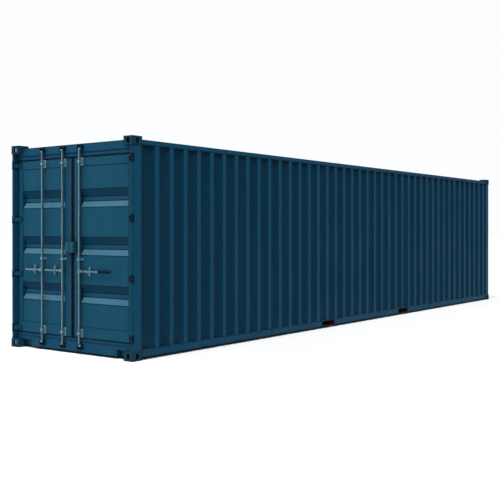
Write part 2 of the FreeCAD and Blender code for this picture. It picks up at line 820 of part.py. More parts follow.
# ---------------------------------------------------------------- hinges


def make_hinge_brackets():
    """Lug pairs with their pins, in the notches of the door posts."""
    corner = "(pin_place - knuckle_radius)"
    x = from_end(corner, f"{corner} + lug_depth")
    y = from_side(corner, f"{corner} + lug_width")
    pin = ("pin_place - overall_length / 2", "pin_place - overall_width / 2")
    right = []
    for number, height in enumerate(hinge_heights()):
        half = "(lug_gap / 2)"
        lower = box(f"lower_lug_{number}", x, y, (f"{height} - {half} - lug_thickness", f"{height} - {half}"))
        upper = box(f"upper_lug_{number}", x, y, (f"{height} + {half}", f"{height} + {half} + lug_thickness"))
        start = (*pin, f"{height} - {half} - lug_thickness")
        bar = cylinder(f"hinge_pin_{number}", start, "lug_gap + 2 * lug_thickness", "pin_radius")
        right.append(fused(f"hinge_bracket_{number}", lower, upper, bar))
    left = [mirrored(f"hinge_bracket_left_{number}", item, ACROSS) for number, item in enumerate(right)]
    sub_part(together("hinge_lugs", *right, *left), "hinge_brackets")


def make_hinge_blades():
    """Hinge blades: a knuckle, an arm past the post and a strap on the door's face."""
    pin_x = "pin_place - overall_length / 2"
    pin_y = "pin_place - overall_width / 2"
    arm_length = "((door_inset - strap_thickness / 2 - pin_place) / cos(arm_angle))"
    strap_start = f"(pin_place + {arm_length} * sin(arm_angle) - strap_thickness / 2)"
    blades = []
    for number, height in enumerate(hinge_heights()):
        low = f"({height} - lug_gap / 2 + pin_play)"
        knuckle = cylinder(f"knuckle_{number}", (pin_x, pin_y, low), "knuckle_height", "knuckle_radius")
        arm = doc.addObject("Part::Box", f"hinge_arm_{number}")
        arm.Placement = FreeCAD.Placement(FreeCAD.Vector(), FreeCAD.Rotation(UPRIGHT, 1))
        bind(arm, "Placement.Rotation.Angle", "arm_angle")
        bind(arm, "Placement.Base.x", f"{pin_x} + arm_thickness / 2 * sin(arm_angle)")
        bind(arm, "Placement.Base.y", f"{pin_y} - arm_thickness / 2 * cos(arm_angle)")
        bind(arm, "Placement.Base.z", low)
        bind(arm, "Length", arm_length)
        bind(arm, "Width", "arm_thickness")
        bind(arm, "Height", "knuckle_height")
        strap = box(
            f"hinge_strap_{number}",
            from_end("door_inset - strap_thickness", "door_inset"),
            from_side(strap_start, f"{strap_start} + strap_length"),
            (low, f"{low} + knuckle_height"),
        )
        start = (pin_x, pin_y, low)
        bore = cylinder(f"knuckle_bore_{number}", start, "knuckle_height", "pin_radius + pin_play")
        metal = fused(f"hinge_metal_{number}", knuckle, arm, strap)
        blades.append(less(f"hinge_blade_{number}", metal, bore))
    right = sub_part(together("blades_right", *blades), "right_door_hinges")
    sub_part(mirrored("blades_left", right, ACROSS), "left_door_hinges")


# ---------------------------------------------------------------- doors

# seam edge of a door, from its own side of the container
SEAM_EDGE = "((overall_width - seam_gap) / 2)"
RECESS_HEIGHT = "(recess_upper_slope + recess_flat + recess_lower_slope)"


def recess_bottoms():
    """Bottom edges of a door's three recesses."""
    low = f"({DOOR_BOTTOM} + recess_foot)"
    high = f"({DOOR_TOP} - recess_head - {RECESS_HEIGHT})"
    return [spread(low, high, 3, number) for number in range(3)]


MIDDLE_RECESS = recess_bottoms()[1]
HANDLE_HEIGHT = f"({MIDDLE_RECESS} - handle_drop)"


def make_door_frame(side):
    """Frame of a door leaf: two uprights and a top and a bottom member."""
    x = from_end("door_inset", "door_inset + door_thickness")
    leaf_y = from_side("door_margin", SEAM_EDGE, side)
    hinge_y = from_side("door_margin", "door_margin + hinge_stile_width", side)
    seam_y = from_side(f"{SEAM_EDGE} - seam_stile_width", SEAM_EDGE, side)
    pieces = [
        box(f"{side}_hinge_stile", x, hinge_y, (DOOR_BOTTOM, DOOR_TOP)),
        box(f"{side}_seam_stile", x, seam_y, (DOOR_BOTTOM, DOOR_TOP)),
        box(f"{side}_top_member", x, leaf_y, (f"{DOOR_TOP} - top_member", DOOR_TOP)),
        box(f"{side}_bottom_member", x, leaf_y, (DOOR_BOTTOM, f"{DOOR_BOTTOM} + bottom_member")),
    ]
    sub_part(fused(f"{side}_frame", *pieces), f"{side}_door_frame")


def panel_bounds(side):
    """Bounds along Y of a door's sheet, between its uprights."""
    return from_side("door_margin + hinge_stile_width", f"{SEAM_EDGE} - seam_stile_width", side)


def recess(name, side, low, grow):
    """A tapered block as deep as a pressed recess, grown on its far sides by the sheet."""
    y_low, y_high = panel_bounds(side)
    wedge = doc.addObject("Part::Wedge", name)
    wedge.Placement = FreeCAD.Placement(FreeCAD.Vector(), FreeCAD.Rotation(UPRIGHT, -90))
    bind(wedge, "Placement.Base.x", f"{SHEET_FACE} - overall_length / 2")
    edge = f"(recess_edge - {grow})"
    ends = {
        "Xmin": f"{edge} - ({y_high})",
        "Xmax": f"-({y_low}) - {edge}",
        "X2min": f"{edge} - ({y_high}) + recess_end_slope",
        "X2max": f"-({y_low}) - {edge} - recess_end_slope",
        "Ymin": "0",
        "Ymax": f"recess_depth + {grow}",
        "Zmin": f"{low} - {grow}",
        "Zmax": f"{low} + {RECESS_HEIGHT} + {grow}",
        "Z2min": f"{low} + recess_lower_slope - {grow}",
        "Z2max": f"{low} + recess_lower_slope + recess_flat + {grow}",
    }
    for place, text in ends.items():
        bind(wedge, place, text)
    return wedge


def make_door_panel(side):
    """Sheet of a door leaf with three recesses pressed inwards."""
    skin = box(
        f"{side}_panel_skin",
        from_end(SHEET_FACE, f"{SHEET_FACE} + door_sheet"),
        panel_bounds(side),
        (f"{DOOR_BOTTOM} + bottom_member", f"{DOOR_TOP} - top_member"),
    )
    lows = recess_bottoms()
    pans = [recess(f"{side}_pan_{number}", side, low, "door_sheet") for number, low in enumerate(lows)]
    cuts = [recess(f"{side}_recess_{number}", side, low, "0") for number, low in enumerate(lows)]
    metal = fused(f"{side}_panel_metal", skin, *pans)
    sub_part(less(f"{side}_panel", metal, *cuts), f"{side}_door_panel")


def make_gasket(side):
    """Rubber seal round the edges of a door leaf."""
    x = from_end("door_inset + gasket_front", "door_inset + gasket_front + gasket_depth")
    rim = box(
        f"{side}_gasket_rim",
        x,
        from_side("door_margin - gasket_lip", f"{SEAM_EDGE} + gasket_lip", side),
        (f"{DOOR_BOTTOM} - gasket_lip", f"{DOOR_TOP} + gasket_lip"),
    )
    leaf_y = from_side("door_margin", SEAM_EDGE, side)
    leaf = box(f"{side}_gasket_leaf", x, leaf_y, (DOOR_BOTTOM, DOOR_TOP))
    sub_part(less(f"{side}_gasket", rim, leaf), f"{side}_door_gasket")


# ---------------------------------------------------------------- lock rods, brackets, handles

ROD_X = f"({ROD_INSET} - overall_length / 2)"
ROD_TOP = f"({HEADER_TOP} - rod_head)"
LOW_BRACKET = f"({DOOR_BOTTOM} + bracket_edge_gap + bracket_height / 2)"
MIDDLE_BRACKET = f"({MIDDLE_RECESS} - middle_bracket_drop)"
HIGH_BRACKET = f"({DOOR_TOP} - bracket_edge_gap - bracket_height / 2)"


class RodPlace:
    """Where a lock rod stands, and which way its handle and cams point (-1 right, +1 left)."""

    def __init__(self, name, side, distance, handle_reach, middle_face):
        self.name = name
        self.side = side
        self.way = -1 if side == "right" else 1
        self.y = f"({self.way} * {distance})"
        self.handle_reach = handle_reach
        self.middle_face = middle_face

    def y_bounds(self, near, far):
        """Bounds along Y between two distances from the rod, on the side its handle points to."""
        first, second = (near, far) if self.way > 0 else (far, near)
        return f"{self.y} + {self.way} * ({first})", f"{self.y} + {self.way} * ({second})"


RODS = (
    RodPlace("right", "right", "inner_rod_place", "right_handle_reach", "door_inset"),
    RodPlace("inner_left", "left", "inner_rod_place", "left_handle_reach", "door_inset"),
    RodPlace("outer_left", "left", "outer_rod_place", "left_handle_reach", SHEET_FACE),
)


def make_rod(rod):
    """A lock rod with a cam at each end, a collar on its lower bracket and the handle's hub."""
    bar = cylinder(f"{rod.name}_bar", (ROD_X, rod.y, "rod_bottom"), f"{ROD_TOP} - rod_bottom", "rod_radius")
    cam_x = from_end(f"{ROD_INSET} - cam_width / 2", f"{ROD_INSET} + cam_width / 2")
    cam_y = rod.y_bounds("0", "cam_reach")
    low_cam = box(f"{rod.name}_cam_low", cam_x, cam_y, ("rod_bottom", "rod_bottom + cam_width"))
    high_cam = box(f"{rod.name}_cam_high", cam_x, cam_y, (f"{ROD_TOP} - cam_width", ROD_TOP))
    seat = f"({LOW_BRACKET} + bracket_depth / 2 + bracket_play)"
    collar = cylinder(f"{rod.name}_collar", (ROD_X, rod.y, seat), "collar_height", "collar_radius")
    hub_start = (ROD_X, rod.y, f"{HANDLE_HEIGHT} - hub_height / 2")
    hub = cylinder(f"{rod.name}_hub", hub_start, "hub_height", "collar_radius")
    inner = "(handle_thickness / 2 + handle_play)"
    outer = f"({inner} + hub_plate)"
    lug_y = rod.y_bounds("rod_radius", "handle_pin_reach + handle_width / 2")
    lug_z = (f"{HANDLE_HEIGHT} - lug_height / 2", f"{HANDLE_HEIGHT} + lug_height / 2")
    outer_x = from_end(f"{ROD_INSET} - {outer}", f"{ROD_INSET} - {inner}")
    inner_x = from_end(f"{ROD_INSET} + {inner}", f"{ROD_INSET} + {outer}")
    lugs = [
        box(f"{rod.name}_lug_outer", outer_x, lug_y, lug_z),
        box(f"{rod.name}_lug_inner", inner_x, lug_y, lug_z),
    ]
    pin_start = (f"{ROD_X} - {outer}", f"{rod.y} + {rod.way} * handle_pin_reach", HANDLE_HEIGHT)
    pin = cylinder(f"{rod.name}_handle_pin", pin_start, f"2 * {outer}", "handle_pin_radius", ALONG_X)
    metal = fused(f"{rod.name}_rod", bar, low_cam, high_cam, collar, hub, *lugs, pin)
    sub_part(metal, f"{rod.name}_lock_rod")


def make_handle(rod):
    """A flat handle bar with round ends, hung on its rod's pin."""
    reach = f"({rod.handle_reach} - handle_width / 2)"
    face = f"{ROD_X} - handle_thickness / 2"
    pin_start = (face, f"{rod.y} + {rod.way} * handle_pin_reach", HANDLE_HEIGHT)
    tip_start = (face, f"{rod.y} + {rod.way} * {reach}", HANDLE_HEIGHT)
    half_width = "handle_width / 2"
    bar = box(
        f"{rod.name}_handle_bar",
        from_end(f"{ROD_INSET} - handle_thickness / 2", f"{ROD_INSET} + handle_thickness / 2"),
        rod.y_bounds("handle_pin_reach", reach),
        (f"{HANDLE_HEIGHT} - {half_width}", f"{HANDLE_HEIGHT} + {half_width}"),
    )
    eye = cylinder(f"{rod.name}_handle_eye", pin_start, "handle_thickness", half_width, ALONG_X)
    tip = cylinder(f"{rod.name}_handle_tip", tip_start, "handle_thickness", half_width, ALONG_X)
    bore_radius = "handle_pin_radius + pin_play"
    bore = cylinder(f"{rod.name}_handle_bore", pin_start, "handle_thickness", bore_radius, ALONG_X)
    metal = fused(f"{rod.name}_handle_metal", bar, eye, tip)
    sub_part(less(f"{rod.name}_grip", metal, bore), f"{rod.name}_handle")


def make_rod_brackets(side):
    """Bearing blocks on a door's face, three to each lock rod.

    The upper and lower ones and the inner rods' middle ones stand on the door's frame, and the
    outer rod's middle one stands on the sheet.
    """
    blocks = []
    wall = "(rod_radius + bracket_play + bracket_wall)"
    for rod in (item for item in RODS if item.side == side):
        for label, height, tall, wide, face in (
            ("low", LOW_BRACKET, "bracket_height", "bracket_width", "door_inset"),
            ("middle", MIDDLE_BRACKET, "middle_bracket_height", "middle_bracket_width", rod.middle_face),
            ("high", HIGH_BRACKET, "bracket_height", "bracket_width", "door_inset"),
        ):
            name = f"{rod.name}_bracket_{label}"
            plate = box(
                name + "_plate",
                from_end(f"{face} - bracket_plate", face),
                rod.y_bounds(f"-{wide} / 2", f"{wide} / 2"),
                (f"{height} - {tall} / 2", f"{height} + {tall} / 2"),
            )
            z = (f"{height} - bracket_depth / 2", f"{height} + bracket_depth / 2")
            block = box(
                name + "_block",
                from_end(f"{ROD_INSET} - {wall}", f"{face} - bracket_plate"),
                rod.y_bounds(f"-{wall}", wall),
                z,
            )
            start = (ROD_X, rod.y, z[0])
            bore = cylinder(name + "_bore", start, "bracket_depth", "rod_radius + bracket_play")
            blocks.append(less(name, fused(name + "_metal", plate, block), bore))
    sub_part(together(f"{side}_brackets", *blocks), f"{side}_rod_brackets")


def make_retainers(side):
    """Tall round-ended plates on a door's sheet, each with a ledge under its handle."""
    plates = []
    front = f"({SHEET_FACE} - bracket_plate)"
    for rod in (item for item in RODS if item.side == side):
        name = f"{rod.name}_retainer"
        centre_y = f"{rod.y} + {rod.way} * retainer_reach"
        plate = stadium(
            name + "_plate",
            (f"{front} + bracket_plate / 2 - overall_length / 2", centre_y, HANDLE_HEIGHT),
            ("retainer_height", "retainer_width", "bracket_plate"),
            through="x",
            run="z",
        )
        ledge_top = f"({HANDLE_HEIGHT} - handle_width / 2 - ledge_gap)"
        ledge = box(
            name + "_ledge",
            from_end(f"{front} - ledge_reach", front),
            (f"{centre_y} - retainer_width / 2", f"{centre_y} + retainer_width / 2"),
            (f"{ledge_top} - bracket_plate", ledge_top),
        )
        plates.append(fused(name, plate, ledge))
    sub_part(together(f"{side}_retainers", *plates), f"{side}_handle_retainers")


def make_keepers():
    """Forks on sill and header that stand on both sides of each rod's cams."""
    low_base = ("rod_bottom - keeper_end_gap - keeper_base", "rod_bottom - keeper_end_gap")
    high_base = (f"{ROD_TOP} + keeper_end_gap", f"{ROD_TOP} + keeper_end_gap + keeper_base")
    spans = (
        ("low", low_base, (low_base[0], "rod_bottom + keeper_base")),
        ("high", high_base, (f"{ROD_TOP} - keeper_base", high_base[1])),
    )
    near = "(rod_radius + keeper_near_gap)"
    far = "(cam_reach + keeper_gap)"
    jaw_x = from_end(f"{GATE_FACE} - keeper_reach", GATE_FACE)
    base_x = from_end(f"{GATE_FACE} - bracket_plate", GATE_FACE)
    forks = []
    for rod in RODS:
        base_y = rod.y_bounds(f"-{near} - keeper_plate", f"{far} + keeper_plate")
        near_y = rod.y_bounds(f"-{near} - keeper_plate", f"-{near}")
        far_y = rod.y_bounds(far, f"{far} + keeper_plate")
        for label, base_z, jaw_z in spans:
            name = f"{rod.name}_keeper_{label}"
            base = box(name + "_base", base_x, base_y, base_z)
            near_jaw = box(name + "_near_jaw", jaw_x, near_y, jaw_z)
            far_jaw = box(name + "_far_jaw", jaw_x, far_y, jaw_z)
            forks.append(fused(name, base, near_jaw, far_jaw))
    sub_part(together("keepers", *forks), "cam_keepers")


def make_lock_box(side):
    """Half of the steel hood over the seam, open below and at the seam, with a padlock's eye."""
    front = "(door_inset - lock_box_depth)"
    bottom = f"({MIDDLE_RECESS} + lock_box_rise)"
    top = f"({bottom} + lock_box_height)"
    seam = "((overall_width - lock_box_gap) / 2)"
    edge = "((overall_width - lock_box_width) / 2)"
    hood = box(f"{side}_hood", from_end(front, "door_inset"), from_side(edge, seam, side), (bottom, top))
    hollow = box(
        f"{side}_hood_hollow",
        from_end(f"{front} + lock_box_wall", "door_inset - lock_box_wall"),
        from_side(f"{edge} + lock_box_wall", seam, side),
        (bottom, f"{top} - lock_box_wall"),
    )
    eye_y = from_side(f"{seam} - lock_box_wall", seam, side)
    eye_back = "(door_inset - lock_box_wall)"
    eye_x = from_end(f"{eye_back} - lock_eye_width", eye_back)
    eye = box(f"{side}_lock_eye", eye_x, eye_y, (bottom, f"{bottom} + lock_eye_height"))
    hole = cylinder(
        f"{side}_lock_eye_hole",
        (
            f"{eye_back} - lock_eye_width / 2 - overall_length / 2",
            eye_y[0],
            f"{bottom} + lock_eye_height / 2",
        ),
        "lock_box_wall",
        "lock_eye_radius",
        ALONG_Y,
    )
    shell = fused(f"{side}_hood_metal", less(f"{side}_hood_shell", hood, hollow), eye)
    sub_part(less(f"{side}_lock_hood", shell, hole), f"{side}_lock_box")


# ---------------------------------------------------------------- build, check, write


def build():
    """Makes every sub-part in turn."""
    make_castings()
    make_door_posts()
    make_front_posts()
    make_door_header()
    make_door_sill()
    make_front_beams()
    make_rails()
    make_side_walls()
    make_front_wall()
    make_roof()
    make_floor()
    make_fork_pockets()
    make_cross_members()
    make_hinge_brackets()
    make_keepers()
    make_hinge_blades()
    for side in ("right", "left"):
        make_door_frame(side)
        make_door_panel(side)
        make_gasket(side)
        make_rod_brackets(side)
        make_retainers(side)
        make_lock_box(side)
    for rod in RODS:
        make_rod(rod)
        make_handle(rod)
    doc.recompute()


def check():
    """Stops if an object failed, or a sub-part has no valid solid."""
    for item in doc.Objects:
        if {"Invalid", "Error"} & set(item.State):
            raise RuntimeError(f"{item.Name} failed: {item.State}")
    for item in SUB_PARTS:
        if item.Shape.isNull() or not item.Shape.isValid() or not item.Shape.Solids:
            raise RuntimeError(f"{item.Label} has no valid shape")


def write():
    """Writes each sub-part to its own file."""
    os.makedirs("parts", exist_ok=True)
    for item in SUB_PARTS:
        item.Shape.exportStep(f"parts/{item.Label}.step")
        box_size = item.Shape.BoundBox
        size = f"{box_size.XLength:.1f} x {box_size.YLength:.1f} x {box_size.ZLength:.1f} mm"
        print(f"{item.Label}: {len(item.Shape.Solids)} solid(s), {size}")


build()
check()
write()
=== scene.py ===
"""Looks of a forty-foot steel shipping container, built round its fixed frame.

Metres. The door end faces -X, the right side faces -Y and the ground is at Z 0. The frame gives
the places: each new piece is worked out from the boxes of the parts that carry it.
"""

import json
import logging
import math
from collections import defaultdict
from dataclasses import dataclass
from enum import Enum
from typing import Callable, Iterable, Optional

import bpy
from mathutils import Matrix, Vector


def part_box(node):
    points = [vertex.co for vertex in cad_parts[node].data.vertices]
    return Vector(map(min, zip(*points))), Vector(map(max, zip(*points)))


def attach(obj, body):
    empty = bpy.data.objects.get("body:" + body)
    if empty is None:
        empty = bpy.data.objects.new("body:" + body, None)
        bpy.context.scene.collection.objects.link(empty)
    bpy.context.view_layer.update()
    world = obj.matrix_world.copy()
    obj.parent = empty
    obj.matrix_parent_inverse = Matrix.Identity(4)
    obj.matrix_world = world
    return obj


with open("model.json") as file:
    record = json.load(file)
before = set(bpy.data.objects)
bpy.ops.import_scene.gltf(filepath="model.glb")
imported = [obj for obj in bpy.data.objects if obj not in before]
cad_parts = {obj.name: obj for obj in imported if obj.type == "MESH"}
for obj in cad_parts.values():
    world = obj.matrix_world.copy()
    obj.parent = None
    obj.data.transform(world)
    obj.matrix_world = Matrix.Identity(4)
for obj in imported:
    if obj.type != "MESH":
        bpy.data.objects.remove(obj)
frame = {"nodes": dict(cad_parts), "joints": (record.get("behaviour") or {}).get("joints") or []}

log = logging.getLogger("container")

Colour = tuple[float, float, float]
Box = tuple[Vector, Vector]
Socket = bpy.types.NodeSocket
Tree = bpy.types.NodeTree
Material = bpy.types.Material
Piece = bpy.types.Object

OUT_OF_DOOR = Vector((-1.0, 0.0, 0.0))
UP = Vector((0.0, 0.0, 1.0))


class Side(Enum):
    """The two sides of the container, by their sign along Y."""

    RIGHT = -1
    LEFT = 1

    @property
    def word(self) -> str:
        """The side's name, as the frame's parts have it."""
        return self.name.lower()


class Axis(Enum):
    """An axis that the ridges of a pressed sheet stand out along, by its place in a vector."""

    X = 0
    Y = 1


class Slot(Enum):
    """The record's material slots, one listed with each new piece."""

    SHELL = "shell_paint"
    ROD = "rod_paint"
    RUBBER = "gasket_rubber"
    FLOOR = "floor_ply"
    HINGE = "hinge_paint"


# ---------------------------------------------------------------- places on the frame


def solid_boxes(node: str) -> list[Box]:
    """Finds the box of each separate solid in one part of the frame.

    Args:
        node: The part's name.

    Returns:
        The lowest and highest corner of each solid, from the lowest solid to the highest.
    """
    mesh = frame["nodes"][node].data
    keys = [tuple(round(value, 5) for value in vertex.co) for vertex in mesh.vertices]
    links: dict[tuple, tuple] = {key: key for key in keys}

    def root(key: tuple) -> tuple:
        """Follows the links to the point that stands for a solid.

        Args:
            key: A point of the solid.

        Returns:
            The point that stands for it.
        """
        while links[key] != key:
            links[key] = links[links[key]]
            key = links[key]
        return key

    for face in mesh.polygons:
        first, *others = (keys[index] for index in face.vertices)
        for other in others:
            links[root(other)] = root(first)
    groups: dict[tuple, list[tuple]] = defaultdict(list)
    for key in links:
        groups[root(key)].append(key)
    boxes = [
        (Vector(map(min, zip(*points))), Vector(map(max, zip(*points))))
        for points in groups.values()
    ]
    return sorted(boxes, key=lambda box: (round(box[0].z, 3), box[0].y))


def joint_place(name: str) -> Vector:
    """Gives the point that a joint turns about."""
    found = next(joint for joint in frame["joints"] if joint["name"] == name)
    return Vector(found["pos_m"])


# ---------------------------------------------------------------- nodes of the materials


class NodeSheet:
    """A node tree with short ways to add nodes and join them."""

    def __init__(self, tree: Tree) -> None:
        """Takes the tree and empties it."""
        self.tree = tree
        tree.nodes.clear()

    def add(self, kind: str, **settings: object) -> bpy.types.Node:
        """Adds a node.

        Args:
            kind: The node's type.
            settings: Properties of the node and their values.

        Returns:
            The new node.
        """
        node = self.tree.nodes.new(kind)
        for key, value in settings.items():
            setattr(node, key, value)
        return node

    def feed(self, socket: Socket, source: object) -> None:
        """Joins an output to a socket, or sets the socket's own value.

        Args:
            socket: The socket.
            source: The output, the number or the colour.
        """
        if isinstance(source, Socket):
            self.tree.links.new(source, socket)
        elif socket.type == "RGBA" and len(source) == 3:
            socket.default_value = (*source, 1.0)
        else:
            socket.default_value = source

    def sum(self, operation: str, first: object, second: object = 0.0) -> Socket:
        """Adds a Math node.

        Args:
            operation: The node's operation.
            first: The first value or output.
            second: The second value or output.

        Returns:
            The result's output.
        """
        node = self.add("ShaderNodeMath", operation=operation)
        self.feed(node.inputs[0], first)
        self.feed(node.inputs[1], second)
        return node.outputs[0]

    def ramp(
        self, value: object, low: object, high: object, start: float = 0.0, end: float = 1.0
    ) -> Socket:
        """Maps a value from one range to another and keeps it inside.

        Args:
            value: The value or output.
            low: The value that gives the start.
            high: The value that gives the end.
            start: The result at the low value.
            end: The result at the high value.

        Returns:
            The mapped output.
        """
        node = self.add("ShaderNodeMapRange", interpolation_type="SMOOTHSTEP")
        for socket, source in zip(node.inputs, (value, low, high, start, end)):
            self.feed(socket, source)
        return node.outputs[0]

    def blend(self, share: object, under: object, over: object) -> Socket:
        """Mixes two colours.

        Args:
            share: The share of the second colour.
            under: The first colour.
            over: The second colour.

        Returns:
            The mixed colour's output.
        """
        node = self.add("ShaderNodeMix", data_type="RGBA")
        self.feed(node.inputs["Factor"], share)
        self.feed(node.inputs[6], under)
        self.feed(node.inputs[7], over)
        return node.outputs[2]

    def coat(self, mask: object, share: object, under: object, over: object) -> Socket:
        """Lays a colour over another where a mask lets it show.

        Args:
            mask: The mask's output.
            share: How much of the second colour shows at most.
            under: The first colour.
            over: The second colour.

        Returns:
            The mixed colour's output.
        """
        return self.blend(self.sum("MULTIPLY", mask, share), under, over)

    def noise(self, place: object, scale: float, detail: float = 3.0, rough: float = 0.5) -> Socket:
        """Adds a noise pattern.

        Args:
            place: The output of coordinates that it lies on.
            scale: How many spots there are to a metre.
            detail: How many finer layers it has.
            rough: How strong the finer layers are.

        Returns:
            The pattern's output, from 0 to 1.
        """
        node = self.add("ShaderNodeTexNoise")
        self.feed(node.inputs["Vector"], place)
        node.inputs["Scale"].default_value = scale
        node.inputs["Detail"].default_value = detail
        node.inputs["Roughness"].default_value = rough
        return node.outputs["Fac"]

    def stretched(self, place: object, scale: Colour) -> Socket:
        """Scales coordinates.

        Args:
            place: The output of coordinates.
            scale: The share on each axis.

        Returns:
            The scaled coordinates' output.
        """
        node = self.add("ShaderNodeMapping")
        self.feed(node.inputs["Vector"], place)
        node.inputs["Scale"].default_value = scale
        return node.outputs["Vector"]


class Effect(Enum):
    """Surface effects that several materials share, each a shader node group that is built once."""

    PAINT_LIFE = "paint_life"
    EDGE_WEAR = "edge_wear"
    # Painted shade in corners, from ambient occlusion.
    CORNER_GRIME = "corner_grime"
    GROUND_DUST = "ground_dust"
    FACING = "facing"

    def group(self) -> Tree:
        """Gives the effect's node group, and builds it the first time.

        Returns:
            The group.
        """
        tree = bpy.data.node_groups.get(self.value)
        if tree is None:
            tree = bpy.data.node_groups.new(self.value, "ShaderNodeTree")
            EFFECT_BUILDERS[self](tree)
        return tree


def group_ends(
    tree: Tree, inputs: dict[str, float], outputs: Iterable[str]
) -> tuple[NodeSheet, dict, dict]:
    """Gives a node group its sockets.

    Args:
        tree: The group.
        inputs: Names of number inputs with their first values. A Place input comes before them.
        outputs: Names of number outputs.

    Returns:
        The group's sheet, its inputs by name and its outputs by name.
    """
    sheet = NodeSheet(tree)
    tree.interface.new_socket(name="Place", in_out="INPUT", socket_type="NodeSocketVector")
    for name, value in inputs.items():
        socket = tree.interface.new_socket(name=name, in_out="INPUT", socket_type="NodeSocketFloat")
        socket.default_value = value
    for name in outputs:
        tree.interface.new_socket(name=name, in_out="OUTPUT", socket_type="NodeSocketFloat")
    start = sheet.add("NodeGroupInput")
    end = sheet.add("NodeGroupOutput")
    return sheet, start.outputs, end.inputs


def build_paint_life(tree: Tree) -> None:
    """Builds the broad patches, rain streaks and fine grain of weathered paint.

    Args:
        tree: The empty group.
    """
    sheet, given, asked = group_ends(tree, {}, ("Patches", "Streaks", "Grain"))
    place = given["Place"]
    patches = sheet.noise(place, 0.9, detail=4.0, rough=0.6)
    sheet.feed(asked["Patches"], sheet.ramp(patches, 0.32, 0.68))
    drips = sheet.noise(sheet.stretched(place, (9.0, 9.0, 0.35)), 1.0, detail=3.0, rough=0.65)
    sheet.feed(asked["Streaks"], sheet.ramp(drips, 0.52, 0.78))
    sheet.feed(asked["Grain"], sheet.noise(place, 160.0, detail=2.0, rough=0.6))


def build_edge_wear(tree: Tree) -> None:
    """Builds the mask of worn and grimy edges, from how a rounded normal leaves the flat one.

    Args:
        tree: The empty group.
    """
    sheet, given, asked = group_ends(tree, {"Width": 0.006, "Bend": 0.86}, ("Mask",))
    rounded = sheet.add("ShaderNodeBevel", samples=4)
    sheet.feed(rounded.inputs["Radius"], given["Width"])
    surface = sheet.add("ShaderNodeNewGeometry")
    dot = sheet.add("ShaderNodeVectorMath", operation="DOT_PRODUCT")
    sheet.feed(dot.inputs[0], rounded.outputs["Normal"])
    sheet.feed(dot.inputs[1], surface.outputs["Normal"])
    edge = sheet.ramp(dot.outputs["Value"], 0.9997, given["Bend"])
    breaks = sheet.ramp(sheet.noise(given["Place"], 14.0, detail=4.0, rough=0.7), 0.2, 0.5, 0.65, 1.0)
    sheet.feed(asked["Mask"], sheet.sum("MULTIPLY", edge, breaks))


def build_corner_grime(tree: Tree) -> None:
    """Builds the mask of painted shade in corners and under edges, from ambient occlusion.

    Args:
        tree: The empty group.
    """
    sheet, given, asked = group_ends(tree, {"Reach": 0.05}, ("Mask",))
    # Painted shade: ambient occlusion sets how much the colour darkens in corners and under edges.
    hollow = sheet.add("ShaderNodeAmbientOcclusion", samples=4)
    sheet.feed(hollow.inputs["Distance"], given["Reach"])
    smudge = sheet.noise(given["Place"], 6.0, detail=3.0, rough=0.6)
    share = sheet.ramp(hollow.outputs["AO"], 0.95, 0.35)
    sheet.feed(asked["Mask"], sheet.sum("MULTIPLY", share, sheet.ramp(smudge, 0.1, 0.6, 0.7, 1.0)))


def build_ground_dust(tree: Tree) -> None:
    """Builds the mask of dust that rises from the ground and thins out with height.

    Args:
        tree: The empty group.
    """
    sheet, given, asked = group_ends(tree, {"Height": 0.5}, ("Mask",))
    parts = sheet.add("ShaderNodeSeparateXYZ")
    sheet.feed(parts.inputs[0], given["Place"])
    share = sheet.sum("DIVIDE", parts.outputs["Z"], given["Height"])
    low = sheet.ramp(share, 1.0, 0.0)
    clouds = sheet.ramp(sheet.noise(given["Place"], 5.0, detail=5.0, rough=0.7), 0.35, 0.75)
    sheet.feed(asked["Mask"], sheet.sum("MULTIPLY", low, clouds))


def build_facing(tree: Tree) -> None:
    """Builds broken masks of the faces that look up, down, towards the door end and to the sides, for
    painted highlight on the faces that look up and painted shade on the others.

    Args:
        tree: The empty group.
    """
    sheet, given, asked = group_ends(tree, {}, ("Up", "Down", "Doorward", "Aside"))
    surface = sheet.add("ShaderNodeNewGeometry")
    parts = sheet.add("ShaderNodeSeparateXYZ")
    sheet.feed(parts.inputs[0], surface.outputs["True Normal"])
    breaks = sheet.ramp(sheet.noise(given["Place"], 3.0, detail=5.0, rough=0.7), 0.2, 0.6, 0.78, 1.0)
    for name, axis, low, high in (
        ("Up", "Z", 0.15, 0.35),
        ("Down", "Z", -0.15, -0.3),
        ("Doorward", "X", -0.15, -0.35),
    ):
        looking = sheet.ramp(parts.outputs[axis], low, high)
        sheet.feed(asked[name], sheet.sum("MULTIPLY", looking, breaks))
    # Aside: faces that look across, which take painted shade on the flanks of round bars.
    aside = sheet.ramp(sheet.sum("ABSOLUTE", parts.outputs["Y"]), 0.3, 0.65)
    sheet.feed(asked["Aside"], sheet.sum("MULTIPLY", aside, breaks))


EFFECT_BUILDERS: dict[Effect, Callable[[Tree], None]] = {
    Effect.PAINT_LIFE: build_paint_life,
    Effect.EDGE_WEAR: build_edge_wear,
    Effect.CORNER_GRIME: build_corner_grime,
    Effect.GROUND_DUST: build_ground_dust,
    Effect.FACING: build_facing,
}


